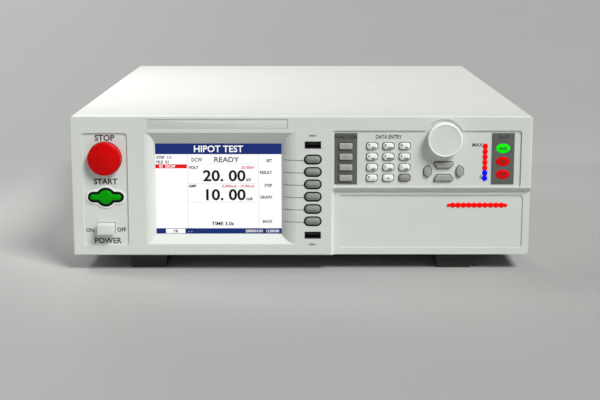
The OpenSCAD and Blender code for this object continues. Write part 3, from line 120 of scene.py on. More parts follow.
def surface(name, code, rough, metal=0.0, grain=0.4, bump=0.02, mottle=0.04, mottle_mm=18.0,
            stretch=(1, 1, 1), spread=0.06, glow=0.0, specular=0.5):
    """Finish with a fine grain in its bump, broad colour mottling and uneven gloss.

    The grain, its height and the mottling are in millimetres.
    """
    material, tree, place = bare_material(name)
    turned = add(tree, "ShaderNodeMapping", {"Vector": place, "Scale": stretch})
    cloud = add(tree, "ShaderNodeTexNoise", {
        "Vector": turned.outputs["Vector"], "Scale": 1 / (mottle_mm * MM), "Detail": 4.0, "Roughness": 0.55})
    fine = add(tree, "ShaderNodeTexNoise", {
        "Vector": turned.outputs["Vector"], "Scale": 1 / (grain * MM), "Detail": 2.0})
    base = linear(code)
    tint = add(tree, "ShaderNodeValToRGB", {"Fac": cloud.outputs["Fac"]})
    dark, light = tint.color_ramp.elements
    dark.position, light.position = CLOUD_LOW, CLOUD_HIGH
    dark.color, light.color = shaded(base, 1 - mottle), shaded(base, 1 + mottle)
    gloss = add(tree, "ShaderNodeMapRange", {
        "Value": cloud.outputs["Fac"], "From Min": CLOUD_LOW, "From Max": CLOUD_HIGH,
        "To Min": max(0.02, rough - spread), "To Max": min(1.0, rough + spread)})
    relief = add(tree, "ShaderNodeBump", {
        "Height": fine.outputs["Fac"], "Strength": GRAIN_STRENGTH, "Distance": bump * MM})
    skin = add(tree, "ShaderNodeBsdfPrincipled", {
        "Base Color": tint.outputs["Color"], "Roughness": gloss.outputs["Result"],
        "Normal": relief.outputs["Normal"], "Metallic": metal, "Specular IOR Level": specular})
    if glow:
        tree.links.new(tint.outputs["Color"], skin.inputs["Emission Color"])
        skin.inputs["Emission Strength"].default_value = glow
    add(tree, "ShaderNodeOutputMaterial", {"Surface": skin.outputs["BSDF"]})
    return material


# Moulded ABS: spark-eroded tool texture, so it scatters softly and barely shines
bezel_abs = surface("bezel_abs", "#d3d8d3", 0.5, grain=0.35, bump=0.03, mottle=0.015, mottle_mm=40)
# Powder coat on steel: slight orange peel and matt, so light spreads evenly over the broad sheets
powder_coat = surface("powder_coat", "#cdcfca", 0.72, grain=1.1, bump=0.03, mottle=0.015, mottle_mm=60,
                      spread=0.03, specular=0.2)
rear_coat = surface("rear_coat", "#dcddd9", 0.6, grain=1.1, bump=0.03, mottle=0.02, mottle_mm=45,
                    spread=0.03, specular=0.3)
# Zinc-plated sheet: cloudy grey metal
zinc_sheet = surface("zinc_sheet", "#b9bcbe", 0.38, metal=1.0, grain=0.5, bump=0.01, mottle=0.12, mottle_mm=9)
# Thermoplastic rubber of the feet: black and dull
foot_rubber = surface("foot_rubber", "#2a2826", 0.7, grain=0.5, bump=0.05, mottle=0.12, mottle_mm=6)
# Nickel-plated screws: bright and smooth
screw_nickel = surface("screw_nickel", "#a8abad", 0.28, metal=1.0, grain=0.3, bump=0.004, mottle=0.06,
                       mottle_mm=2)
# Silicone keys: satin and a little greasy where fingers touch
key_white = surface("silicone_white", "#e9ede9", 0.46, grain=0.3, bump=0.015, mottle=0.03, mottle_mm=5)
SILICONE = {"rough": 0.48, "grain": 0.3, "bump": 0.015, "mottle": 0.05, "mottle_mm": 5}
key_soft = surface("silicone_soft_grey", "#858a84", **SILICONE)
key_function = surface("silicone_function_grey", "#a9a9a6", **SILICONE)
key_enter = surface("silicone_enter_grey", "#8f8e8b", **SILICONE)
key_arrow = surface("silicone_arrow_grey", "#a0a39e", **SILICONE)
# Moulded polycarbonate buttons: smooth over a deep colour, with little white shine
POLYCARBONATE = {"rough": 0.34, "grain": 0.6, "bump": 0.006, "mottle": 0.06, "specular": 0.12}
button_red = surface("polycarbonate_red", "#c80000", mottle_mm=14, **POLYCARBONATE)
button_green = surface("polycarbonate_green", "#029802", mottle_mm=8, **POLYCARBONATE)
# Pale ABS of the POWER button and the knob's face: a shallower texture than the bezel's, with a soft shine
button_white = surface("abs_white", "#d6d9d5", 0.42, grain=0.35, mottle=0.02, mottle_mm=10)
knob_abs = surface("knob_abs", "#d8dcd7", 0.4, grain=0.35, mottle=0.015, mottle_mm=14)
# Polished ABS rims of the knob and the START button: glossier than the bezel, and whiter in colour as a
# painted highlight of the light the rims catch
knob_rim_painted_highlight = surface("knob_rim_painted_highlight", "#f3f5f2", 0.3, grain=0.5, bump=0.006, mottle=0.01, mottle_mm=14)
rim_abs_painted_highlight = surface("rim_abs_painted_highlight", "#e9ede9", 0.34, grain=0.35, bump=0.015, mottle=0.01, mottle_mm=14)
# Polyester film of the blank strip above the screen: smooth and a little glossy
strip_film = surface("strip_film", "#d0d4d0", 0.32, grain=0.25, bump=0.008, mottle=0.01, mottle_mm=25)
# Elastomer collars: black and dull. Round the soft keys the black is painted shade, standing in for the dark
# gap round each key
collar_black_and_gap_shade = surface("elastomer_and_gap_shade", "#0a0b0a", 0.6, mottle=0.1, mottle_mm=4, specular=0.2)
# Printed polycarbonate sheet behind the function keys and the status lenses: even and satin
legend_sheet = surface("legend_sheet", "#5c5d5a", 0.5, grain=0.25, bump=0.012, mottle_mm=8)
# Screen-printed ink: matt, and a little uneven in tone
PRINT = {"rough": 0.6, "grain": 0.2, "bump": 0.01, "mottle": 0.08, "mottle_mm": 2}
ink_dark = surface("ink_dark", "#1c1e1d", **PRINT)
ink_black = surface("ink_black", "#151515", **PRINT)
# The grey ink also serves as painted shade in the soft keys' guide grooves
ink_grey_and_groove_shade = surface("ink_grey_and_groove_shade", "#8d918c", **PRINT)
# Lenses and lamps: coloured acrylic with light behind it
ACRYLIC = {"rough": 0.3, "grain": 0.5, "bump": 0.004, "specular": 0.12}
lens_green = surface("acrylic_green_lit", "#03dc03", mottle=0.06, mottle_mm=5, glow=0.4, **ACRYLIC)
lens_red = surface("acrylic_red", "#d80303", mottle=0.08, mottle_mm=5, glow=0.12, **ACRYLIC)
lamp_red = surface("lamp_red_lit", "#e00202", mottle=0.06, mottle_mm=2, glow=0.45, **ACRYLIC)
lamp_blue = surface("lamp_blue_lit", "#0303dc", mottle=0.06, mottle_mm=2, glow=0.45, **ACRYLIC)
# Moulded nylon and fan plastic: black or dark grey, faintly cloudy
socket_black = surface("socket_nylon", "#101010", 0.5, mottle=0.1, mottle_mm=4)
switch_black = surface("switch_nylon", "#2b2d30", 0.5, mottle=0.1, mottle_mm=5)
fan_black = surface("fan_plastic", "#1b1c1d", 0.5, mottle=0.1, mottle_mm=6)
rotor_grey = surface("rotor_plastic", "#4a4d50", 0.36, bump=0.01, mottle=0.08, mottle_mm=6)
# Chromed wire of the fan guard: bright and hard
guard_chrome = surface("guard_chrome", "#c4c6c8", 0.18, metal=1.0, bump=0.003, mottle=0.05, mottle_mm=6)
# Cast epoxy of the high-voltage output: deep red with a soft gloss
insulator_red = surface("insulator_epoxy", "#7a1a17", 0.3, grain=0.5, bump=0.01, mottle=0.1, mottle_mm=7)
# Moulded caps of the terminals: smooth and nearly glossy
terminal_green = surface("terminal_green", "#1c7a3a", 0.34, bump=0.01, mottle=0.08, mottle_mm=5)
terminal_black = surface("terminal_phenolic", "#1d1e1f", 0.32, bump=0.01, mottle=0.1, mottle_mm=5)
# Tinned steel shells of the ports, a little dull, and their gold-flashed contacts
tin_shell = surface("tin_shell", "#adb1b3", 0.3, metal=1.0, bump=0.006, mottle=0.08, mottle_mm=4)
contact_gold = surface("contact_gold", "#c9a25a", 0.25, metal=1.0, bump=0.004, mottle=0.06, mottle_mm=2)
# Solder mask over copper: dark green and smooth
board_green = surface("solder_mask", "#1f5a37", 0.35, grain=0.5, bump=0.01, mottle=0.1, mottle_mm=6)
# Varnished steel plates of the transformer's core: dark, with fine lines across the stack
core_varnish = surface("core_varnish", "#4b4c4e", 0.45, metal=0.6, grain=0.5, bump=0.08, mottle=0.15,
                       mottle_mm=5, stretch=(1, 6, 1))
# Bare aluminium housing of the power supply: light grey metal
supply_aluminium = surface("supply_aluminium", "#a9adb0", 0.35, metal=1.0, bump=0.006, mottle=0.08)

BACKLIGHT_MM = 30.0


def lit(name, code, strength):
    """Colour of the lit screen: light through a smooth dark glass, a little uneven like a backlight."""
    material, tree, place = bare_material(name)
    cloud = add(tree, "ShaderNodeTexNoise", {
        "Vector": place, "Scale": 1 / (BACKLIGHT_MM * MM), "Detail": 1.0})
    base = linear(code)
    tint = add(tree, "ShaderNodeValToRGB", {"Fac": cloud.outputs["Fac"]})
    tint.color_ramp.elements[0].color = shaded(base, 0.96)
    tint.color_ramp.elements[1].color = base
    skin = add(tree, "ShaderNodeBsdfPrincipled", {
        "Base Color": shaded(base, 0.06), "Roughness": 0.25, "Specular IOR Level": 0.25,
        "Emission Color": tint.outputs["Color"], "Emission Strength": strength})
    add(tree, "ShaderNodeOutputMaterial", {"Surface": skin.outputs["BSDF"]})
    return material


# Mesh helpers

# Limits in millimetres and degrees: vertices that are merged, edges that stay sharp or get rolled over
MERGE = 0.001
SHARP_ANGLE = 35
ROLL_ANGLE = 30
# Cap height of the letters as a share of their size, and how far print stands proud
CAP_SHARE = 0.7
INK_DEPTH = 0.03


def placed(name, data):
    """Object in the scene for a mesh, words, a light or a camera."""
    made = bpy.data.objects.new(name, data)
    bpy.context.scene.collection.objects.link(made)
    return made


def plain_mesh(made):
    """Mesh of an object with its modifiers or outlines worked in."""
    return bpy.data.meshes.new_from_object(made.evaluated_get(bpy.context.evaluated_depsgraph_get()))


def settle(name, mesh, materials, body, replaced=()):
    """Makes a mesh in the shared frame a piece that rides on a body."""
    for material in materials:
        mesh.materials.append(material)
    piece = placed(name, mesh)
    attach(piece, body)
    if replaced:
        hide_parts(*replaced)


def finish_mesh(name, bm, materials, body, replaced=()):
    """Turns a bmesh into a finished piece, smooth but for its sharp edges."""
    mesh = bpy.data.meshes.new(name)
    bmesh.ops.dissolve_degenerate(bm, dist=MERGE * MM, edges=bm.edges)
    bmesh.ops.recalc_face_normals(bm, faces=bm.faces)
    bm.to_mesh(mesh)
    bm.free()
    mesh.shade_smooth()
    mesh.set_sharp_from_angle(angle=math.radians(SHARP_ANGLE))
    settle(name, mesh, materials, body, replaced)


def rounded(corners, radius, inset=0.0, steps=6):
    """Convex outline (x, z), counter-clockwise, with rounded corners, moved inwards by an inset."""
    r = max(radius - inset, 0.05)
    shift = inset + r
    count = len(corners)
    lines = []
    for k in range(count):
        a, b = Vector(corners[k]), Vector(corners[(k + 1) % count])
        along = (b - a).normalized()
        inwards = Vector((-along.y, along.x))
        lines.append((a + inwards * shift, along, inwards))
    points = []
    for k in range(count):
        p, d, n = lines[k - 1]
        q, e, m = lines[k]
        cross = d.x * e.y - d.y * e.x
        middle = p + d * (((q - p).x * e.y - (q - p).y * e.x) / cross)
        start = math.atan2(-n.y, -n.x)
        turn = (math.atan2(-m.y, -m.x) - start) % math.tau
        for i in range(steps + 1):
            angle = start + turn * i / steps
            points.append((middle.x + r * math.cos(angle), middle.y + r * math.sin(angle)))
    return points


def box_outline(w, h, r, steps=6):
    """Outline function of a rounded rectangle, pill or disc."""
    corners = [(-w / 2, -h / 2), (w / 2, -h / 2), (w / 2, h / 2), (-w / 2, h / 2)]
    return lambda inset: rounded(corners, r, inset, steps)


def oval_outline(w, h, count=48):
    """Outline function of an ellipse."""
    turns = [math.tau * k / count for k in range(count)]
    return lambda inset: [((w / 2 - inset) * math.cos(a), (h / 2 - inset) * math.sin(a)) for a in turns]


# START button: width, height of its side bars, width of its disc, radius of its inner corners
START_W, START_BAR, START_DISC, START_FILLET = 30.3, 6.6, 14.6, 2.0


def start_outline(inset):
    """Disc with side bars and soft inner corners."""
    r, b, f = START_DISC / 2 - inset, START_BAR / 2 - inset, START_FILLET
    fx = math.sqrt((r + f) ** 2 - (b + f) ** 2)
    fz = b + f
    end = START_W / 2 - START_BAR / 2
    meet = math.atan2(fz, fx)
    steps = 8

    def arc(x, z, radius, a, c):
        turns = [a + (c - a) * i / steps for i in range(steps + 1)]
        return [(x + radius * math.cos(turn), z + radius * math.sin(turn)) for turn in turns]

    half = math.pi / 2
    return (arc(end, 0, b, -half, half) + arc(fx, fz, f, -half, meet - math.pi)
            + arc(0, 0, r, meet, math.pi - meet) + arc(-fx, fz, f, -meet, -half)
            + arc(-end, 0, b, half, math.pi + half) + arc(-fx, -fz, f, half, meet)
            + arc(0, 0, r, math.pi + meet, math.tau - meet) + arc(fx, -fz, f, math.pi - meet, half))


def loft(bm, outline, place, levels, slot=0, closed=True, ring=False):
    """Skins rings of an outline.

    Levels are (inset, depth), from the back to the front, or round a hollow ring.
    """
    x0, z0 = place
    first = outline(levels[0][0])
    kept = [k for k in range(len(first)) if math.dist(first[k], first[k - 1]) > MERGE]
    rings = []
    for inset, depth in levels:
        points = outline(inset)
        rings.append([bm.verts.new(at(x0 + points[k][0], depth, z0 + points[k][1])) for k in kept])
    faces = []
    for a, b in zip(rings, rings[1:] + rings[:1] if ring else rings[1:]):
        for k in range(len(a)):
            j = (k + 1) % len(a)
            faces.append(bm.faces.new((a[k], a[j], b[j], b[k])))
    if closed and not ring:
        faces.append(bm.faces.new(rings[-1]))
        faces.append(bm.faces.new(list(reversed(rings[0]))))
    for face in faces:
        face.material_index = slot


def rolled(radius, top, steps):
    """Levels of a quarter round that ends at depth top."""
    turns = [math.pi / 2 * i / steps for i in range(steps + 1)]
    return [(radius * (1 - math.cos(turn)), top + radius * (1 - math.sin(turn))) for turn in turns]


def cap_levels(back, top, edge, crown, half):
    """Side wall, rolled edge and crowned face of a cap whose face is at depth top."""
    levels = [(0.0, back)] + rolled(edge, top + crown, 5)
    for share in (0.3, 0.55, 0.78, 0.95):
        levels.append((edge + (half - edge) * share, top + crown * (1 - share) ** 2))
    return levels


def box_mesh(bm, low, high, slot=0):
    """Box between two points of the shared frame."""
    size = high - low
    middle = (low + high) / 2
    matrix = Matrix.Translation(middle) @ Matrix.Diagonal((*size, 1))
    made = bmesh.ops.create_cube(bm, size=1.0, matrix=matrix)
    for vert in made["verts"]:
        for face in vert.link_faces:
            face.material_index = slot


def letter(bm, words, height, x, z, depth, slot=0, align="CENTER", squeeze=1.0, weight=0.0, facing=-1):
    """Adds printed words to a bmesh: cap height in millimetres, middle of the line at z, lying on a depth.

    They face the front, or the rear where facing is 1.
    """
    curve = bpy.data.curves.new("words", "FONT")
    curve.body = words
    curve.align_x = align
    curve.size = height / CAP_SHARE * MM
    curve.extrude = INK_DEPTH * MM
    curve.offset = weight * MM
    curve.resolution_u = 3
    text = placed("words", curve)
    mesh = plain_mesh(text)
    to_panel = Matrix(((-facing * squeeze, 0, 0), (0, 0, facing), (0, 1, 0))).to_4x4()
    mesh.transform(Matrix.Translation(at(x, depth, z - height / 2)) @ to_panel)
    first = len(bm.faces)
    bm.from_mesh(mesh)
    bm.faces.ensure_lookup_table()
    for face in bm.faces[first:]:
        face.material_index = slot
    bpy.data.objects.remove(text)
    bpy.data.curves.remove(curve)
    bpy.data.meshes.remove(mesh)


def softened(node, width, materials, pick=None):
    """Copy of a chassis node with its sharp edges rolled over and its flat faces kept flat, in its place.

    pick gives a finish's number from the middle of a face, where the copy has more than one.
    """
    bm = bmesh.new()
    bm.from_mesh(nodes[node].data)
    bmesh.ops.remove_doubles(bm, verts=bm.verts, dist=2 * MERGE * MM)
    bmesh.ops.dissolve_limit(bm, angle_limit=math.radians(0.5), verts=bm.verts, edges=bm.edges,
                             delimit={"NORMAL"})
    mesh = bpy.data.meshes.new(node + "_merged")
    bm.to_mesh(mesh)
    bm.free()
    mesh.shade_smooth()
    rough = placed(node + "_merged", mesh)
    roll = rough.modifiers.new("rolled_edges", "BEVEL")
    roll.width = width * MM
    roll.segments = 2
    roll.limit_method = "ANGLE"
    roll.angle_limit = math.radians(ROLL_ANGLE)
    roll.use_clamp_overlap = True
    flat = rough.modifiers.new("flat_faces", "WEIGHTED_NORMAL")
    flat.mode = "FACE_AREA"
    flat.weight = 100
    flat.keep_sharp = True
    done = plain_mesh(rough)
    done.name = node + "_soft"
    bpy.data.objects.remove(rough)
    settle(node + "_soft", done, materials, "chassis", [node])
    if pick:
        for face in done.polygons:
            face.material_index = pick(face.center)


def geometry_tree(name, sizes):
    """Geometry tree with named inputs. Returns it with the outputs of its input node."""
    tree = bpy.data.node_groups.new(name, "GeometryNodeTree")
    tree.interface.new_socket("Geometry", in_out="INPUT", socket_type="NodeSocketGeometry")
    for label, kind in sizes.items():
        tree.interface.new_socket(label, in_out="INPUT", socket_type="NodeSocket" + kind)
    tree.interface.new_socket("Geometry", in_out="OUTPUT", socket_type="NodeSocketGeometry")
    return tree, add(tree, "NodeGroupInput").outputs


def close_tree(tree, instances, material):
    """Realizes the instances, gives them their finish and ends the tree."""
    solid = add(tree, "GeometryNodeRealizeInstances", {"Geometry": instances})
    dressed = add(tree, "GeometryNodeSetMaterial", {
        "Geometry": solid.outputs["Geometry"], "Material": material})
    add(tree, "NodeGroupOutput", {"Geometry": dressed.outputs["Geometry"]})


def grown(name, points, tree, values, replaced=(), edges=()):
    """Runs a geometry tree on points, or on a path of them, and keeps the result as a chassis piece."""
    base = bpy.data.meshes.new(name + "_base")
    base.from_pydata([tuple(p) for p in points], edges, [])
    seed = placed(name + "_base", base)
    modifier = seed.modifiers.new(tree.name, "NODES")
    modifier.node_group = tree
    for socket in tree.interface.items_tree:
        if socket.in_out == "INPUT" and socket.name in values:
            modifier[socket.identifier] = values[socket.name]
    mesh = plain_mesh(seed)
    bpy.data.objects.remove(seed)
    bm = bmesh.new()
    bm.from_mesh(mesh)
    finish_mesh(name, bm, list(mesh.materials), "chassis", replaced)


def dress(material, *names):
    """Gives CAD nodes a finish."""
    for name in names:
        data = nodes[name].data
        data.materials.clear()
        data.materials.append(material)


# Case

softened("front_bezel", 0.2, [bezel_abs])
softened("feet", 1.2, [foot_rubber])
dress(powder_coat, "top_cover")
dress(zinc_sheet, "base_chassis", "lcd_module", "encoder")
dress(rear_coat, "rear_panel")
dress(board_green, "key_boards", "control_board")
dress(switch_black, "key_switches", "stop_switch", "power_switch")
dress(legend_sheet, "legend_plates")
dress(socket_black, "usb_sockets")
dress(fan_black, "fan_frame")
dress(rotor_grey, "fan_rotor")
dress(guard_chrome, "fan_guard")
dress(core_varnish, "hv_transformer")
dress(supply_aluminium, "power_supply")

# Keys and buttons

SOFT_KEYS = [f"soft_key_{k}" for k in range(1, 7)]
FUNCTION_KEYS = [f"function_key_{k}" for k in range(1, 5)]
NUMBER_KEYS = [f"number_key_{k}" for k in range(10)]
CAP_BACK = 4.5
START_BACK = 5.5
# What the visible caps of START and the arrows are smaller by than their solids, all round
START_COVER = 0.6
ARROW_COVER = 0.2


def start_cap(inset):
    """Visible outline of the START button, inside its thick collar."""
    return start_outline(inset + START_COVER)


# Caps: outline, rolled edge, crown, and half of the smaller side
SOFT_CAP = (box_outline(14.2, 6.8, 3.4), 1.0, 0.9, 3.4)
FUNCTION_CAP = (box_outline(12.3, 5.7, 0.6, 3), 0.7, 0.15, 2.8)
DATA_CAP = (box_outline(10.3, 6.1, 2.7), 0.8, 0.5, 3.05)
ARROW_FORM = (0.7, 0.2, 1.5)
STOP_CAP = (box_outline(31, 31, 15.5, 12), 1.6, 2.2, 15.5)
POWER_CAP = (box_outline(15.8, 10, 0.9, 4), 0.8, 0.2, 5.0)
START_CAP = (start_cap, 1.0, 0.3, 2.6)


def cap_piece(node, cap, material, back=CAP_BACK):
    """Moulded cap in a key's place."""
    outline, edge, crown, half = cap
    bm = bmesh.new()
    loft(bm, outline, centre(node), cap_levels(back, front(node), edge, crown, half))
    finish_mesh(node + "_cap", bm, [material], node, [node])


for key in SOFT_KEYS:
    cap_piece(key, SOFT_CAP, key_soft)
for key in FUNCTION_KEYS:
    cap_piece(key, FUNCTION_CAP, key_function)
for key in NUMBER_KEYS + ["point_key"]:
    cap_piece(key, DATA_CAP, key_white)
cap_piece("enter_key", DATA_CAP, key_enter)

# Arrow keys: length, thickness, and shares for the wide side, the narrow side and the height of the tips
LONG_ARROW = (18.4, 6.2, 0.44, 0.34, 0.22)
SIDE_ARROW = (11.5, 7.1, 0.25, 0.22, -0.1)


def arrow_outline(l, t, wide, narrow, tip, turns):
    """Outline function of an arrow key, wide side outwards, turned by quarter turns from the top place."""
    corners = [(-l * narrow, -t / 2), (l * narrow, -t / 2), (l / 2, t * tip), (l * wide, t / 2),
               (-l * wide, t / 2), (-l / 2, t * tip)]
    for _ in range(turns):
        corners = [(-z, x) for x, z in corners]
    return lambda inset: rounded(corners, 0.9, inset + ARROW_COVER, 4)


for turns, key in enumerate(("arrow_up", "arrow_left", "arrow_down", "arrow_right")):
    outline = arrow_outline(*(SIDE_ARROW if turns % 2 else LONG_ARROW), turns)
    cap_piece(key, (outline, *ARROW_FORM), key_arrow)

cap_piece("stop_button", STOP_CAP, button_red)
cap_piece("power_button", POWER_CAP, button_white)
cap_piece("start_button", START_CAP, button_green, START_BACK)

# Status lenses
LENS_X = 188.1
LENS_Z = (102.4, 90.1, 77.8)
LENS_BACK = 3.0
LENS_FORM = (0.6, 0.35, 4.4)
lens_outline = oval_outline(13.3, 9.0)
bm = bmesh.new()
loft(bm, lens_outline, centre("pass_lens"), cap_levels(LENS_BACK, front("pass_lens"), *LENS_FORM))
finish_mesh("pass_lens_cap", bm, [lens_green], "chassis", ["pass_lens"])
bm = bmesh.new()
for z in LENS_Z[1:]:
    loft(bm, lens_outline, (LENS_X, z), cap_levels(LENS_BACK, front("fault_lenses"), *LENS_FORM))
finish_mesh("fault_lens_caps", bm, [lens_red], "chassis", ["fault_lenses"])

# Black collars: rolled beads round the START button, its black rubber base, and round the soft keys, where
# the black is painted shade for the gap
SOFT_RING = 0.65
SOFT_LIP = 0.25
START_RING = 1.3
START_RIM = 1.6
RIM_TOP = 0.6
FIT_GAP = 0.15
BEAD_PROUD = 0.35
BEAD_DEPTH = 3
# Where a bead's top starts to roll over, and the step and fall of its rolled edge
BEAD_SIDE, BEAD_STEP, BEAD_FALL = 0.25, 0.12, 0.07


def bead(bm, outline, place, width, wall, lip=0.0):
    """Rolled ring between a key's gap and its opening, with a lip that may lie on the wall round it."""
    inner, edge = -KEY_GAP, -KEY_GAP - width
    outer = edge - lip
    top = wall - BEAD_PROUD
    levels = [(inner, wall + BEAD_DEPTH), (inner, top + BEAD_SIDE), (inner - BEAD_STEP, top + BEAD_FALL),
              ((inner + outer) / 2, top), (outer + BEAD_STEP, top + BEAD_FALL), (outer, top + BEAD_SIDE)]
    if lip:
        levels += [(outer, wall + LET_IN), (edge, wall + LET_IN)]
    levels.append((edge, wall + BEAD_DEPTH))
    loft(bm, outline, place, levels, ring=True)


start_place = centre("start_button")
bm = bmesh.new()
bead(bm, start_cap, start_place, START_RING + START_COVER, RIM_TOP)
for key in SOFT_KEYS:
    bead(bm, SOFT_CAP[0], centre(key), SOFT_RING, 0.0, SOFT_LIP)
finish_mesh("collar_and_gap_shade_beads", bm, [collar_black_and_gap_shade], "chassis", ["key_collars"])

# Light-coloured rim round the START button's collar, a little wider and higher than the solid it covers; a
# raised lip whose whiter finish is a painted highlight
RIM_COVER = 0.1
rim_in = -KEY_GAP - START_RING - FIT_GAP + LET_IN
rim_out = rim_in - START_RIM - RIM_COVER
rim_face = RIM_TOP - RIM_COVER
bm = bmesh.new()
loft(bm, start_outline, start_place, [
    (rim_in, RECESS + LET_IN), (rim_in, rim_face + 0.15), (rim_in - 0.15, rim_face),
    (rim_out + 0.5, rim_face), (rim_out + 0.2, rim_face + 0.1), (rim_out + 0.05, rim_face + 0.35),
    (rim_out, RECESS + LET_IN)], ring=True)
finish_mesh("start_rim", bm, [rim_abs_painted_highlight], "chassis")

# Blank strip in the recess above the screen
STRIP_Z = 125.55
bm = bmesh.new()
loft(bm, box_outline(130.4, 8.3, 0.8, 4), (WINDOW[0], STRIP_Z),
     [(0, 0.85), (0, 0.62), (0.08, 0.54), (0.2, 0.5)])
finish_mesh("blank_name_strip", bm, [strip_film], "chassis")

# Tuning knob: polished rolled rim round a satin face in a shallow dish; the rim's whiter finish is a painted
# highlight
KNOB_ROLL = 1.2
DISH = 0.3
knob_place = centre("tuning_knob")
knob_top = front("tuning_knob")
knob_outline = box_outline(32, 32, 16, 16)
dish_edge = (1.6, knob_top + 0.12)
rim_levels = ([(0.9, 0.9), (0.3, 0.7), (0.0, 0.3)] + rolled(KNOB_ROLL, knob_top, 6)
              + [(1.4, knob_top + 0.02), dish_edge])
face_levels = [dish_edge, (1.8, knob_top + 0.24)] + [(inset, knob_top + DISH) for inset in (2.2, 9, 15.6)]
bm = bmesh.new()
loft(bm, knob_outline, knob_place, rim_levels, slot=1, closed=False)
loft(bm, knob_outline, knob_place, face_levels, closed=False)
bmesh.ops.remove_doubles(bm, verts=bm.verts, dist=MERGE * MM)
bmesh.ops.holes_fill(bm, edges=bm.edges, sides=0)
finish_mesh("tuning_knob_cap", bm, [knob_abs, knob_rim_painted_highlight], "tuning_knob", ["tuning_knob"])

# Printed lettering on the panel: words, cap height, x, z, depth, ink, width and weight

DARK, BLACK, PALE = range(3)
LENS_PRINT = RECESS - 0.94
PANEL_WORDS = [
    ("STOP", 5.4, -183.3, 112.4, RECESS, DARK, 1.0, 0.2),
    ("START", 5.3, -183.3, 71.0, RECESS, DARK, 1.0, 0.2),
    ("ON", 3.8, -199.0, 24.2, RECESS, DARK, 0.9, 0.15),
    ("OFF", 3.8, -169.2, 24.8, RECESS, DARK, 0.9, 0.15),
    ("POWER", 5.4, -182.4, 14.2, RECESS, DARK, 0.94, 0.16),
    ("DATA ENTRY", 3.5, 81.2, 113.4, RECESS, DARK, 0.8, 0.12),
    ("FUNCTION", 3.0, 41.6, 113.2, PLATE_FRONT, BLACK, 0.98, 0.09),
    ("DUT", 3.2, LENS_X, 113.2, PLATE_FRONT, BLACK, 1.0, 0.09),
    ("MAX", 3.2, 164.0, 105.8, RECESS, BLACK, 1.0, 0.09),
    ("0", 3.2, 168.0, 75.2, RECESS, BLACK, 1.0, 0.09),
]
PANEL_WORDS += [(words, 2.6, LENS_X, z, LENS_PRINT, BLACK, 0.92, 0.08)
                for words, z in zip(("PASS", "FAIL", "TEST"), LENS_Z)]
bm = bmesh.new()
for words, height, x, z, depth, ink, squeeze, weight in PANEL_WORDS:
    letter(bm, words, height, x, z, depth, ink, squeeze=squeeze, weight=weight)
# Small stick-shaped marks beside the two front sockets: x, width and height of the body and the plug
for z in (114.6, 10.6):
    for x, w, h in ((9.6, 4.6, 2.0), (13.0, 1.8, 1.3)):
        box_mesh(bm, at(x - w / 2, -INK_DEPTH, z - h / 2), at(x + w / 2, INK_DEPTH, z + h / 2), PALE)
finish_mesh("panel_print", bm, [ink_dark, ink_black, ink_grey_and_groove_shade], "chassis")

# Legends of the keys, a little way into the crowned caps
LEGENDS = {
    "number_key_7": ("7", "STU"), "number_key_8": ("8", "VWX"), "number_key_9": ("9", "YZ"),
    "number_key_4": ("4", "JKL"), "number_key_5": ("5", "MNO"), "number_key_6": ("6", "PQR"),
    "number_key_1": ("1", "ABC"), "number_key_2": ("2", "DEF"), "number_key_3": ("3", "GHI"),
    "number_key_0": ("0", "_"),
}
DATA_SINK = 0.08
FUNCTION_SINK = 0.04
DIGIT_HEIGHT, LETTERS_HEIGHT, WORD_HEIGHT = 2.3, 1.6, 1.7
for key, (digit, letters) in LEGENDS.items():
    x, z = centre(key)
    depth = front(key) + DATA_SINK
    bm = bmesh.new()
    letter(bm, digit, DIGIT_HEIGHT, x - 2.8, z + 0.9, depth, weight=0.1)
    letter(bm, letters, LETTERS_HEIGHT, x + 1.5, z - 1.5, depth, weight=0.07)
    finish_mesh(key + "_legend", bm, [ink_black], key)
point_top = front("point_key")
bm = bmesh.new()
loft(bm, oval_outline(1.7, 1.5, 16), centre("point_key"), [(0, point_top + 0.1), (0.05, point_top - 0.02)])
finish_mesh("point_key_legend", bm, [ink_black], "point_key")
for key, words in zip(FUNCTION_KEYS, ("MENU", "SETUP", "FILE", "LOCK")):
    bm = bmesh.new()
    letter(bm, words, WORD_HEIGHT, *centre(key), front(key) + FUNCTION_SINK, weight=0.03)
    finish_mesh(key + "_legend", bm, [ink_dark], key)

# Screen: the picture lies in thin layers on the glass, in shares of the window from its upper left corner

LAYER = 0.04
WORDS_LAYER = 3
WX, WZ, WW, WH = WINDOW
LEFT, TOP = WX - WW / 2, WZ + WH / 2
WHITE, NAVY, RED, INK, GREY, PINK, LINE = range(7)
PAINTS = [lit("screen_" + name, code, strength) for name, code, strength in (
    ("white", "#ffffff", 0.96), ("navy", "#122b72", 0.95), ("red", "#e8080c", 0.95), ("ink", "#050608", 0.5),
    ("grey", "#4a4f58", 0.9), ("pink", "#d85a74", 0.9), ("line", "#cfeee4", 0.9))]


def patch(x0, x1, y0, y1, slot, layer=1):
    """Flat patch of the picture between two columns and two heights."""
    depth = GLASS_DEPTH - LAYER * layer
    box_mesh(bm, at(LEFT + x0 * WW, depth, TOP - y1 * WH),
             at(LEFT + x1 * WW, depth + LAYER, TOP - y0 * WH), slot)


def caption(words, x, y, height, slot, align="LEFT", squeeze=1.0, weight=0.13):
    """Words of the picture: y is the middle of the line, and the height that of its capitals."""
    depth = GLASS_DEPTH - LAYER * WORDS_LAYER
    letter(bm, words, height * WH, LEFT + x * WW, TOP - y * WH, depth, slot, align, squeeze, weight)


bm = bmesh.new()
low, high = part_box("lcd_screen")
box_mesh(bm, low, high, WHITE)
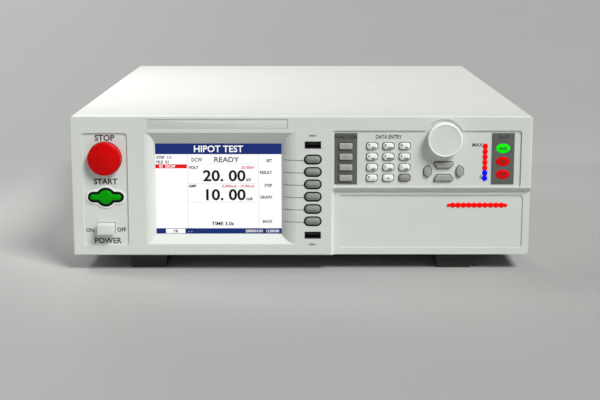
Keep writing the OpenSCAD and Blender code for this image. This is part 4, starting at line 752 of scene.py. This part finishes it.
# Title and foot bars, the chosen step, ruled lines and the progress box
patch(0, 1, 0, 0.12, NAVY)
patch(0, 1, 0.94, 1, NAVY)
patch(0, 0.25, 0.231, 0.275, RED)
patch(0.252, 0.256, 0.12, 0.94, LINE)
patch(0.816, 0.82, 0.12, 0.94, LINE)
for y in (0.226, 0.44, 0.649):
    patch(0.256, 0.816, y - 0.002, y + 0.003, LINE)
patch(0.075, 0.23, 0.945, 0.995, WHITE, layer=2)
caption("HIPOT TEST", 0.5, 0.06, 0.07, WHITE, align="CENTER", weight=0.16)
caption("STEP  1/1", 0.008, 0.155, 0.03, GREY)
caption("FILE  01", 0.008, 0.205, 0.03, GREY)
caption("01  DCW", 0.03, 0.253, 0.03, WHITE)
caption("DCW", 0.285, 0.18, 0.042, GREY, squeeze=0.78)
caption("READY", 0.5625, 0.178, 0.055, GREY, align="CENTER", squeeze=1.1)
# The two readings: name, limits, number and unit, and the heights of the name, the number and the unit
for name, limits, number, unit, y, number_y, unit_y in (
        ("VOLT", "20.00kV", "20. 00", "kV", 0.265, 0.355, 0.4),
        ("AMP", "0.000mA - 10.00mA", "10. 00", "mA", 0.47, 0.565, 0.61)):
    caption(name, 0.262, y, 0.03, INK)
    caption(limits, 0.785, y, 0.03, PINK, align="RIGHT", weight=0.09)
    caption(number, 0.715, number_y, 0.118, INK, align="RIGHT", weight=0.36, squeeze=1.1)
    caption(unit, 0.72, unit_y, 0.034, INK)
caption("TIME 3.0s", 0.53, 0.887, 0.038, INK, align="CENTER", squeeze=1.1)
for words, y in (("SET", 0.19), ("RESULT", 0.32), ("STEP", 0.463), ("GRAPH", 0.593), ("BACK", 0.863)):
    caption(words, 0.925, y, 0.031, GREY, align="RIGHT", squeeze=0.9)
caption("1%", 0.152, 0.97, 0.03, INK, align="CENTER")
caption(".  .", 0.27, 0.965, 0.03, WHITE, align="CENTER")
caption("2000/01/01  12:00:00", 0.98, 0.97, 0.03, WHITE, align="RIGHT", weight=0.06)
finish_mesh("screen_picture", bm, PAINTS, "chassis", ["lcd_screen"])

# Repeated pieces

# Pan-head screws with a cross recess, on the points where they sit
screw_tree, size = geometry_tree("pan_head_screws", {
    "Head Radius": "Float", "Head Height": "Float", "Slot Width": "Float", "Turn": "Rotation",
    "Finish": "Material"})
dome = add(screw_tree, "GeometryNodeMeshUVSphere", {"Segments": 28, "Rings": 14, "Radius": 1.0})
dome_size = add(screw_tree, "ShaderNodeCombineXYZ", {
    "X": size["Head Radius"], "Y": size["Head Radius"], "Z": size["Head Height"]})
head = add(screw_tree, "GeometryNodeTransform", {
    "Geometry": dome.outputs["Mesh"], "Scale": dome_size.outputs["Vector"]})
slot_place = add(screw_tree, "ShaderNodeCombineXYZ", {"Z": size["Head Height"]})
# The second slot is a little shallower, so that the two floors don't coincide
cuts = []
for axes, share in ((("X", "Y"), 1.0), (("Y", "X"), 0.94)):
    slot_depth = add(screw_tree, "ShaderNodeMath", {0: size["Head Height"], 1: share}, operation="MULTIPLY")
    slot_size = add(screw_tree, "ShaderNodeCombineXYZ", {
        axes[0]: size["Head Radius"], axes[1]: size["Slot Width"], "Z": slot_depth.outputs["Value"]})
    bar = add(screw_tree, "GeometryNodeMeshCube", {"Size": slot_size.outputs["Vector"]})
    cuts.append(add(screw_tree, "GeometryNodeTransform", {
        "Geometry": bar.outputs["Mesh"], "Translation": slot_place.outputs["Vector"]}))
recessed = add(screw_tree, "GeometryNodeMeshBoolean", {"Mesh 1": head.outputs["Geometry"]},
               operation="DIFFERENCE")
for cutter in cuts:
    screw_tree.links.new(cutter.outputs["Geometry"], recessed.inputs["Mesh 2"])
heads = add(screw_tree, "GeometryNodeInstanceOnPoints", {
    "Points": size["Geometry"], "Instance": recessed.outputs["Mesh"], "Rotation": size["Turn"]})
close_tree(screw_tree, heads.outputs["Instances"], size["Finish"])

SCREW_DEPTHS = (46.0, 235.25, 424.5)
SCREW_Z = 13.5
SIDE_X = 215.0
FAN_X, FAN_Z = 95.0, 66.0
FAN_SCREW = 35.75
GUARD_LUG = 1.8
REAR_OUT = 448.5
screw_sizes = {
    "Head Radius": 3.2 * MM, "Head Height": 1.6 * MM, "Slot Width": 0.8 * MM, "Finish": screw_nickel}
for side, name in ((-1, "left"), (1, "right")):
    spots = [at(side * SIDE_X, depth, SCREW_Z) for depth in SCREW_DEPTHS]
    grown(f"{name}_cover_screws", spots, screw_tree,
          {**screw_sizes, "Turn": (0.0, side * math.pi / 2, 0.0)}, ["case_screws"])
spots = [at(FAN_X + x * FAN_SCREW, REAR_OUT + GUARD_LUG, FAN_Z + z * FAN_SCREW)
         for x in (-1, 1) for z in (-1, 1)]
grown("fan_screws", spots, screw_tree, {**screw_sizes, "Turn": (-math.pi / 2, 0.0, 0.0)},
      ["case_screws"])

# Domed light pipes: a ball whose rear half is moved back to the lamp board
lamp_tree, size = geometry_tree("light_pipes", {
    "Lamp Radius": "Float", "Dome Height": "Float", "Pipe Length": "Float", "Finish": "Material"})
ball = add(lamp_tree, "GeometryNodeMeshUVSphere", {"Segments": 28, "Rings": 16, "Radius": 1.0})
ball_size = add(lamp_tree, "ShaderNodeCombineXYZ", {
    "X": size["Lamp Radius"], "Y": size["Lamp Radius"], "Z": size["Dome Height"]})
dome = add(lamp_tree, "GeometryNodeTransform", {
    "Geometry": ball.outputs["Mesh"], "Scale": ball_size.outputs["Vector"]})
spot = add(lamp_tree, "ShaderNodeSeparateXYZ", {
    "Vector": add(lamp_tree, "GeometryNodeInputPosition").outputs["Position"]})
behind = add(lamp_tree, "FunctionNodeCompare", {0: spot.outputs["Z"], 1: -0.01 * MM}, operation="LESS_THAN")
back = add(lamp_tree, "ShaderNodeMath", {0: size["Pipe Length"], 1: -1.0}, operation="MULTIPLY")
shift = add(lamp_tree, "ShaderNodeCombineXYZ", {"Z": back.outputs["Value"]})
pipe = add(lamp_tree, "GeometryNodeSetPosition", {
    "Geometry": dome.outputs["Geometry"], "Selection": behind.outputs["Result"],
    "Offset": shift.outputs["Vector"]})
lying = add(lamp_tree, "GeometryNodeTransform", {
    "Geometry": pipe.outputs["Geometry"], "Rotation": (math.pi / 2, 0.0, 0.0)})
lamps = add(lamp_tree, "GeometryNodeInstanceOnPoints", {
    "Points": size["Geometry"], "Instance": lying.outputs["Geometry"]})
close_tree(lamp_tree, lamps.outputs["Instances"], size["Finish"])

LAMP_R, TIP_R, LAMP_PITCH = 2.54, 1.55, 5.1
DOME = 0.4
RED_COUNT, BLUE_COUNT, ROW_COUNT = 5, 2, 10
LOWER_STEP = 3.6
red_low, red_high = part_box("red_lamps")
level_x = centre("blue_lamps")[0]
level_z = (red_high.z - PANEL_Z) / MM - LAMP_R
row_z = (red_low.z - PANEL_Z) / MM + LAMP_R
row_x = red_low.x / MM + 2 * TIP_R + LAMP_PITCH - LAMP_R
row_front = front("red_lamps") + LOWER_STEP
tip_step = LAMP_R + TIP_R + LAMP_PITCH - 2 * LAMP_R
level = [(level_x, front("blue_lamps"), level_z - k * LAMP_PITCH) for k in range(RED_COUNT + BLUE_COUNT)]
row = [(row_x + k * LAMP_PITCH, row_front, row_z) for k in range(ROW_COUNT)]
tips = [(row[0][0] - tip_step, row_front, row_z), (row[-1][0] + tip_step, row_front, row_z)]
for name, spots, radius, finish, node, slot in (
        ("level_lamps_red", level[:RED_COUNT], LAMP_R, lamp_red, "red_lamps", "lamp_red"),
        ("level_lamps_blue", level[RED_COUNT:], LAMP_R, lamp_blue, "blue_lamps", "lamp_blue"),
        ("row_lamps", row, LAMP_R, lamp_red, "red_lamps", "lamp_red"),
        ("row_tip_lamps", tips, TIP_R, lamp_red, "red_lamps", "lamp_red")):
    dome_h = radius * DOME
    board = (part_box(node)[1].y - FACE_Y) / MM
    pipe_length = board - spots[0][1] - 2 * dome_h
    grown(name, [at(x, tip + dome_h, z) for x, tip, z in spots], lamp_tree,
          {"Lamp Radius": radius * MM, "Dome Height": dome_h * MM, "Pipe Length": pipe_length * MM,
           "Finish": finish}, [node])

# Webs of the panel between neighbouring lamps: a small block with the lamps' rounds and a neck cut away
web_tree, size = geometry_tree("lamp_webs", {
    "Web Width": "Float", "Web Height": "Float", "Web Depth": "Float", "Neck Height": "Float",
    "Lamp Radius": "Float", "Half Pitch": "Float", "Turn": "Rotation", "Finish": "Material"})
block_size = add(web_tree, "ShaderNodeCombineXYZ", {
    "X": size["Web Width"], "Y": size["Web Height"], "Z": size["Web Depth"]})
block = add(web_tree, "GeometryNodeMeshCube", {"Size": block_size.outputs["Vector"]})
cut_depth = add(web_tree, "ShaderNodeMath", {0: size["Web Depth"], 1: 2.0}, operation="MULTIPLY")
lamp_round = add(web_tree, "GeometryNodeMeshCylinder", {
    "Vertices": 40, "Radius": size["Lamp Radius"], "Depth": cut_depth.outputs["Value"]})
web = add(web_tree, "GeometryNodeMeshBoolean", {"Mesh 1": block.outputs["Mesh"]}, operation="DIFFERENCE")
for side in (-1.0, 1.0):
    reach = add(web_tree, "ShaderNodeMath", {0: size["Half Pitch"], 1: side}, operation="MULTIPLY")
    aside = add(web_tree, "ShaderNodeCombineXYZ", {"X": reach.outputs["Value"]})
    cutter = add(web_tree, "GeometryNodeTransform", {
        "Geometry": lamp_round.outputs["Mesh"], "Translation": aside.outputs["Vector"]})
    web_tree.links.new(cutter.outputs["Geometry"], web.inputs["Mesh 2"])
neck_size = add(web_tree, "ShaderNodeCombineXYZ", {
    "X": size["Half Pitch"], "Y": size["Neck Height"], "Z": cut_depth.outputs["Value"]})
neck = add(web_tree, "GeometryNodeMeshCube", {"Size": neck_size.outputs["Vector"]})
web_tree.links.new(neck.outputs["Mesh"], web.inputs["Mesh 2"])
webs = add(web_tree, "GeometryNodeInstanceOnPoints", {
    "Points": size["Geometry"], "Instance": web.outputs["Mesh"], "Rotation": size["Turn"]})
close_tree(web_tree, webs.outputs["Instances"], size["Finish"])

LAMP_PROUD = 0.9
LAMP_FIT = 0.03
WEB_DEPTH = 1.0
web_sizes = {
    "Web Width": 4.2 * MM, "Web Height": 5.24 * MM, "Web Depth": WEB_DEPTH * MM, "Neck Height": 3.4 * MM,
    "Lamp Radius": (LAMP_R + LAMP_FIT) * MM, "Half Pitch": LAMP_PITCH / 2 * MM, "Finish": bezel_abs}
for name, spots, turn in (("level_lamp_webs", level, (math.pi / 2, math.pi / 2, 0.0)),
                          ("row_lamp_webs", row, (math.pi / 2, 0.0, 0.0))):
    between = [at((a[0] + b[0]) / 2, a[1] + LAMP_PROUD + LET_IN + WEB_DEPTH / 2, (a[2] + b[2]) / 2)
               for a, b in zip(spots, spots[1:])]
    grown(name, between, web_tree, {**web_sizes, "Turn": turn})

# Painted shade: dark lines laid in the guide grooves, where the grooves' shade falls: one path over the
# shoulder, repeated down the column of soft keys
line_tree, size = geometry_tree("guide_groove_shade", {
    "Line Width": "Float", "Line Height": "Float", "Count": "Int", "Step": "Vector", "Finish": "Material"})
path = add(line_tree, "GeometryNodeMeshToCurve", {"Mesh": size["Geometry"]})
section = add(line_tree, "GeometryNodeCurvePrimitiveQuadrilateral", {
    "Width": size["Line Width"], "Height": size["Line Height"]})
strip = add(line_tree, "GeometryNodeCurveToMesh", {
    "Curve": path.outputs["Curve"], "Profile Curve": section.outputs["Curve"], "Fill Caps": True})
places = add(line_tree, "GeometryNodeMeshLine", {"Count": size["Count"], "Offset": size["Step"]})
lines = add(line_tree, "GeometryNodeInstanceOnPoints", {
    "Points": places.outputs["Mesh"], "Instance": strip.outputs["Mesh"]})
close_tree(line_tree, lines.outputs["Instances"], size["Finish"])

# Right edge of the screen's surround, width and depth of its shoulder; depth, end and pitch of the lines
SURROUND_R = -4.0
SHOULDER_W, SHOULDER_D = 14.6, 7.0
GROOVE = 0.42
LINE_END = 2.3
SOFT_PITCH = 11.8
bend = (SHOULDER_W ** 2 + SHOULDER_D ** 2) / (2 * SHOULDER_D)
line_z = centre("soft_key_1")[1] - 1.0
route = [at(SURROUND_R + dx, bend - math.sqrt(bend ** 2 - dx ** 2) + GROOVE, line_z)
         for dx in (-11.5, -10, -8, -6, -4, -2, 0)]
route.append(at(LINE_END, GROOVE, line_z))
grown("guide_groove_shade", route, line_tree,
      {"Line Width": 0.1 * MM, "Line Height": 0.6 * MM, "Count": len(SOFT_KEYS),
       "Step": (0.0, 0.0, -SOFT_PITCH * MM), "Finish": ink_grey_and_groove_shade},
      edges=[(k, k + 1) for k in range(len(route) - 1)])

# Rear fittings

REAR_Z = 66.0
POST_X = (-92.0, -66.0)
posts_middle = sum(POST_X) / 2 * MM
softened("hv_output", 0.5, [insulator_red])
softened("ground_terminals", 0.4, [terminal_black, terminal_green], pick=lambda c: int(c.x > posts_middle))
softened("interface_ports", 0.25, [tin_shell])
softened("mains_inlet", 0.5, [socket_black])

# Ribs round the terminals' caps
rib_tree, size = geometry_tree("grip_ribs", {
    "Count": "Int", "Ring Radius": "Float", "Rib Radius": "Float", "Rib Length": "Float",
    "Finish": "Material"})
ring = add(rib_tree, "GeometryNodeMeshCircle", {"Vertices": size["Count"], "Radius": size["Ring Radius"]})
rib = add(rib_tree, "GeometryNodeMeshCylinder", {
    "Vertices": 8, "Radius": size["Rib Radius"], "Depth": size["Rib Length"]})
crown = add(rib_tree, "GeometryNodeInstanceOnPoints", {
    "Points": ring.outputs["Mesh"], "Instance": rib.outputs["Mesh"]})
lying = add(rib_tree, "GeometryNodeTransform", {
    "Geometry": crown.outputs["Instances"], "Rotation": (math.pi / 2, 0.0, 0.0)})
crowns = add(rib_tree, "GeometryNodeInstanceOnPoints", {
    "Points": size["Geometry"], "Instance": lying.outputs["Geometry"]})
close_tree(rib_tree, crowns.outputs["Instances"], size["Finish"])

RIBS_MIDDLE = REAR_OUT + 11.0
rib_sizes = {"Count": 18, "Ring Radius": 5.4 * MM, "Rib Radius": 0.45 * MM, "Rib Length": 11.0 * MM}
for x, name, finish in zip(POST_X, ("return", "earth"), (terminal_black, terminal_green)):
    grown(f"{name}_terminal_ribs", [at(x, RIBS_MIDDLE, REAR_Z)], rib_tree, {**rib_sizes, "Finish": finish})

# Contacts of the two ports, in a black block inside each shell
contact_tree, size = geometry_tree("port_contacts", {
    "Contact Radius": "Float", "Contact Height": "Float", "Finish": "Material"})
pin = add(contact_tree, "GeometryNodeMeshCylinder", {
    "Vertices": 12, "Radius": size["Contact Radius"], "Depth": size["Contact Height"]})
turned = add(contact_tree, "GeometryNodeTransform", {
    "Geometry": pin.outputs["Mesh"], "Rotation": (math.pi / 2, 0.0, 0.0)})
pins = add(contact_tree, "GeometryNodeInstanceOnPoints", {
    "Points": size["Geometry"], "Instance": turned.outputs["Geometry"]})
close_tree(contact_tree, pins.outputs["Instances"], size["Finish"])

PORT_END = REAR_OUT + 6.0
PORT_FACE = [(-7.5, 3.2), (-6.8, -3.2), (6.8, -3.2), (7.5, 3.2)]
PORTS_Z = (REAR_Z - 16.0, REAR_Z + 16.0)
CONTACT_STEP = 2.77
CONTACT_ROWS = ((5, 1.4), (4, -1.4))
bm = bmesh.new()
for port_z in PORTS_Z:
    loft(bm, lambda inset: rounded(PORT_FACE, 1.2, inset, 4), (0.0, port_z),
         [(0, PORT_END - 0.5), (0, PORT_END + 0.05), (0.1, PORT_END + 0.1)])
finish_mesh("port_blocks", bm, [socket_black], "chassis")
spots = [at((k - (count - 1) / 2) * CONTACT_STEP, PORT_END + 0.12, port_z + z)
         for port_z in PORTS_Z for count, z in CONTACT_ROWS for k in range(count)]
grown("port_contacts", spots, contact_tree,
      {"Contact Radius": 0.45 * MM, "Contact Height": 0.2 * MM, "Finish": contact_gold})

# Blades of the mains inlet, with tapered ends
INLET_X = 172.0
PLUG_Z = 77.6
BLADES = ((-7.0, -1.0), (7.0, -1.0), (0.0, 3.0))
bm = bmesh.new()
for x, z in BLADES:
    loft(bm, box_outline(2.1, 4.1, 0.3, 3), (INLET_X + x, PLUG_Z + z),
         [(0, REAR_OUT - 13.3), (0, REAR_OUT - 0.4), (0.35, REAR_OUT + 0.55)])
finish_mesh("inlet_blades", bm, [screw_nickel], "chassis")

# Plain function words on the rear panel
REAR_WORDS = (("AC INPUT", INLET_X, 98.5), ("REMOTE", 0.0, 96.0), ("RETURN", POST_X[0], 80.0),
              ("EARTH", POST_X[1], 80.0), ("OUTPUT", -150.0, 94.0))
bm = bmesh.new()
for words, x, z in REAR_WORDS:
    letter(bm, words, 3.4, x, z, REAR_OUT, weight=0.08, facing=1)
finish_mesh("rear_print", bm, [ink_dark], "chassis")

# Floor, light and camera

# Painted studio floor: pale, matt and even
studio_floor = surface("studio_floor", "#acacaa", 0.75, grain=4, mottle=0.01, mottle_mm=300, spread=0.02)
floor_mesh = bpy.data.meshes.new("floor")
bm = bmesh.new()
bmesh.ops.create_grid(bm, x_segments=1, y_segments=1, size=60.0)
bm.to_mesh(floor_mesh)
bm.free()
floor_mesh.materials.append(studio_floor)
floor = placed("floor", floor_mesh)


def shine(name, kind, place, target, power, size):
    """Light that looks at a point: size is a softbox's side in metres, or a sun's or spot's angle."""
    light = bpy.data.lights.new(name, kind)
    light.energy = power
    if kind == "SUN":
        light.angle = size
    elif kind == "SPOT":
        light.spot_size = size
        light.spot_blend = 1.0
        light.shadow_soft_size = 0.1
    else:
        light.size = size
    lamp = placed(name, light)
    lamp.location = place
    lamp.rotation_euler = (Vector(target) - Vector(place)).to_track_quat("-Z", "Y").to_euler()


shine("key_light", "SUN", (2.2, -2.4, 3.6), (0, 0, 0), 3.6, 0.4)
shine("fill_softbox", "AREA", (-2.4, -2.6, 1.0), (0, -0.1, 0.08), 4, 1.6)
shine("rear_light", "SUN", (-1.5, 2.6, 0.9), (0, 0, 0), 1.2, 0.8)
shine("top_light", "SPOT", (-0.62, -0.05, 0.55), (-0.08, 0.0, 0.15), 14, 1.2)

# Studio walls: pale round the horizon, dim overhead
world = bpy.data.worlds.new("studio_world")
world.use_nodes = True
walls = world.node_tree
direction = add(walls, "ShaderNodeTexCoord")
height = add(walls, "ShaderNodeSeparateXYZ", {"Vector": direction.outputs["Generated"]})
fade = add(walls, "ShaderNodeValToRGB", {"Fac": height.outputs["Z"]})
fade.color_ramp.elements[0].position = 0.14
fade.color_ramp.elements[0].color = linear("#b4b4b3")
fade.color_ramp.elements[1].position = 0.26
fade.color_ramp.elements[1].color = linear("#343535")
walls.links.new(fade.outputs["Color"], walls.nodes["Background"].inputs["Color"])
bpy.context.scene.world = world
bpy.context.scene.view_settings.view_transform = "Standard"

# Camera at the photograph's viewing angle: distance and height in metres, look-down angle in degrees
CAMERA_OUT, CAMERA_HEIGHT = 1.020, 0.3009
LOOK_DOWN = 8.8
camera_data = bpy.data.cameras.new("photo_camera")
camera_data.sensor_width = 36.0
camera_data.lens = 66.78
camera_data.shift_y = -0.13
camera = placed("photo_camera", camera_data)
camera.location = (-0.0012, FACE_Y - CAMERA_OUT, CAMERA_HEIGHT)
camera.rotation_euler = (math.radians(90 - LOOK_DOWN), 0.0, 0.0)
bpy.context.scene.camera = camera
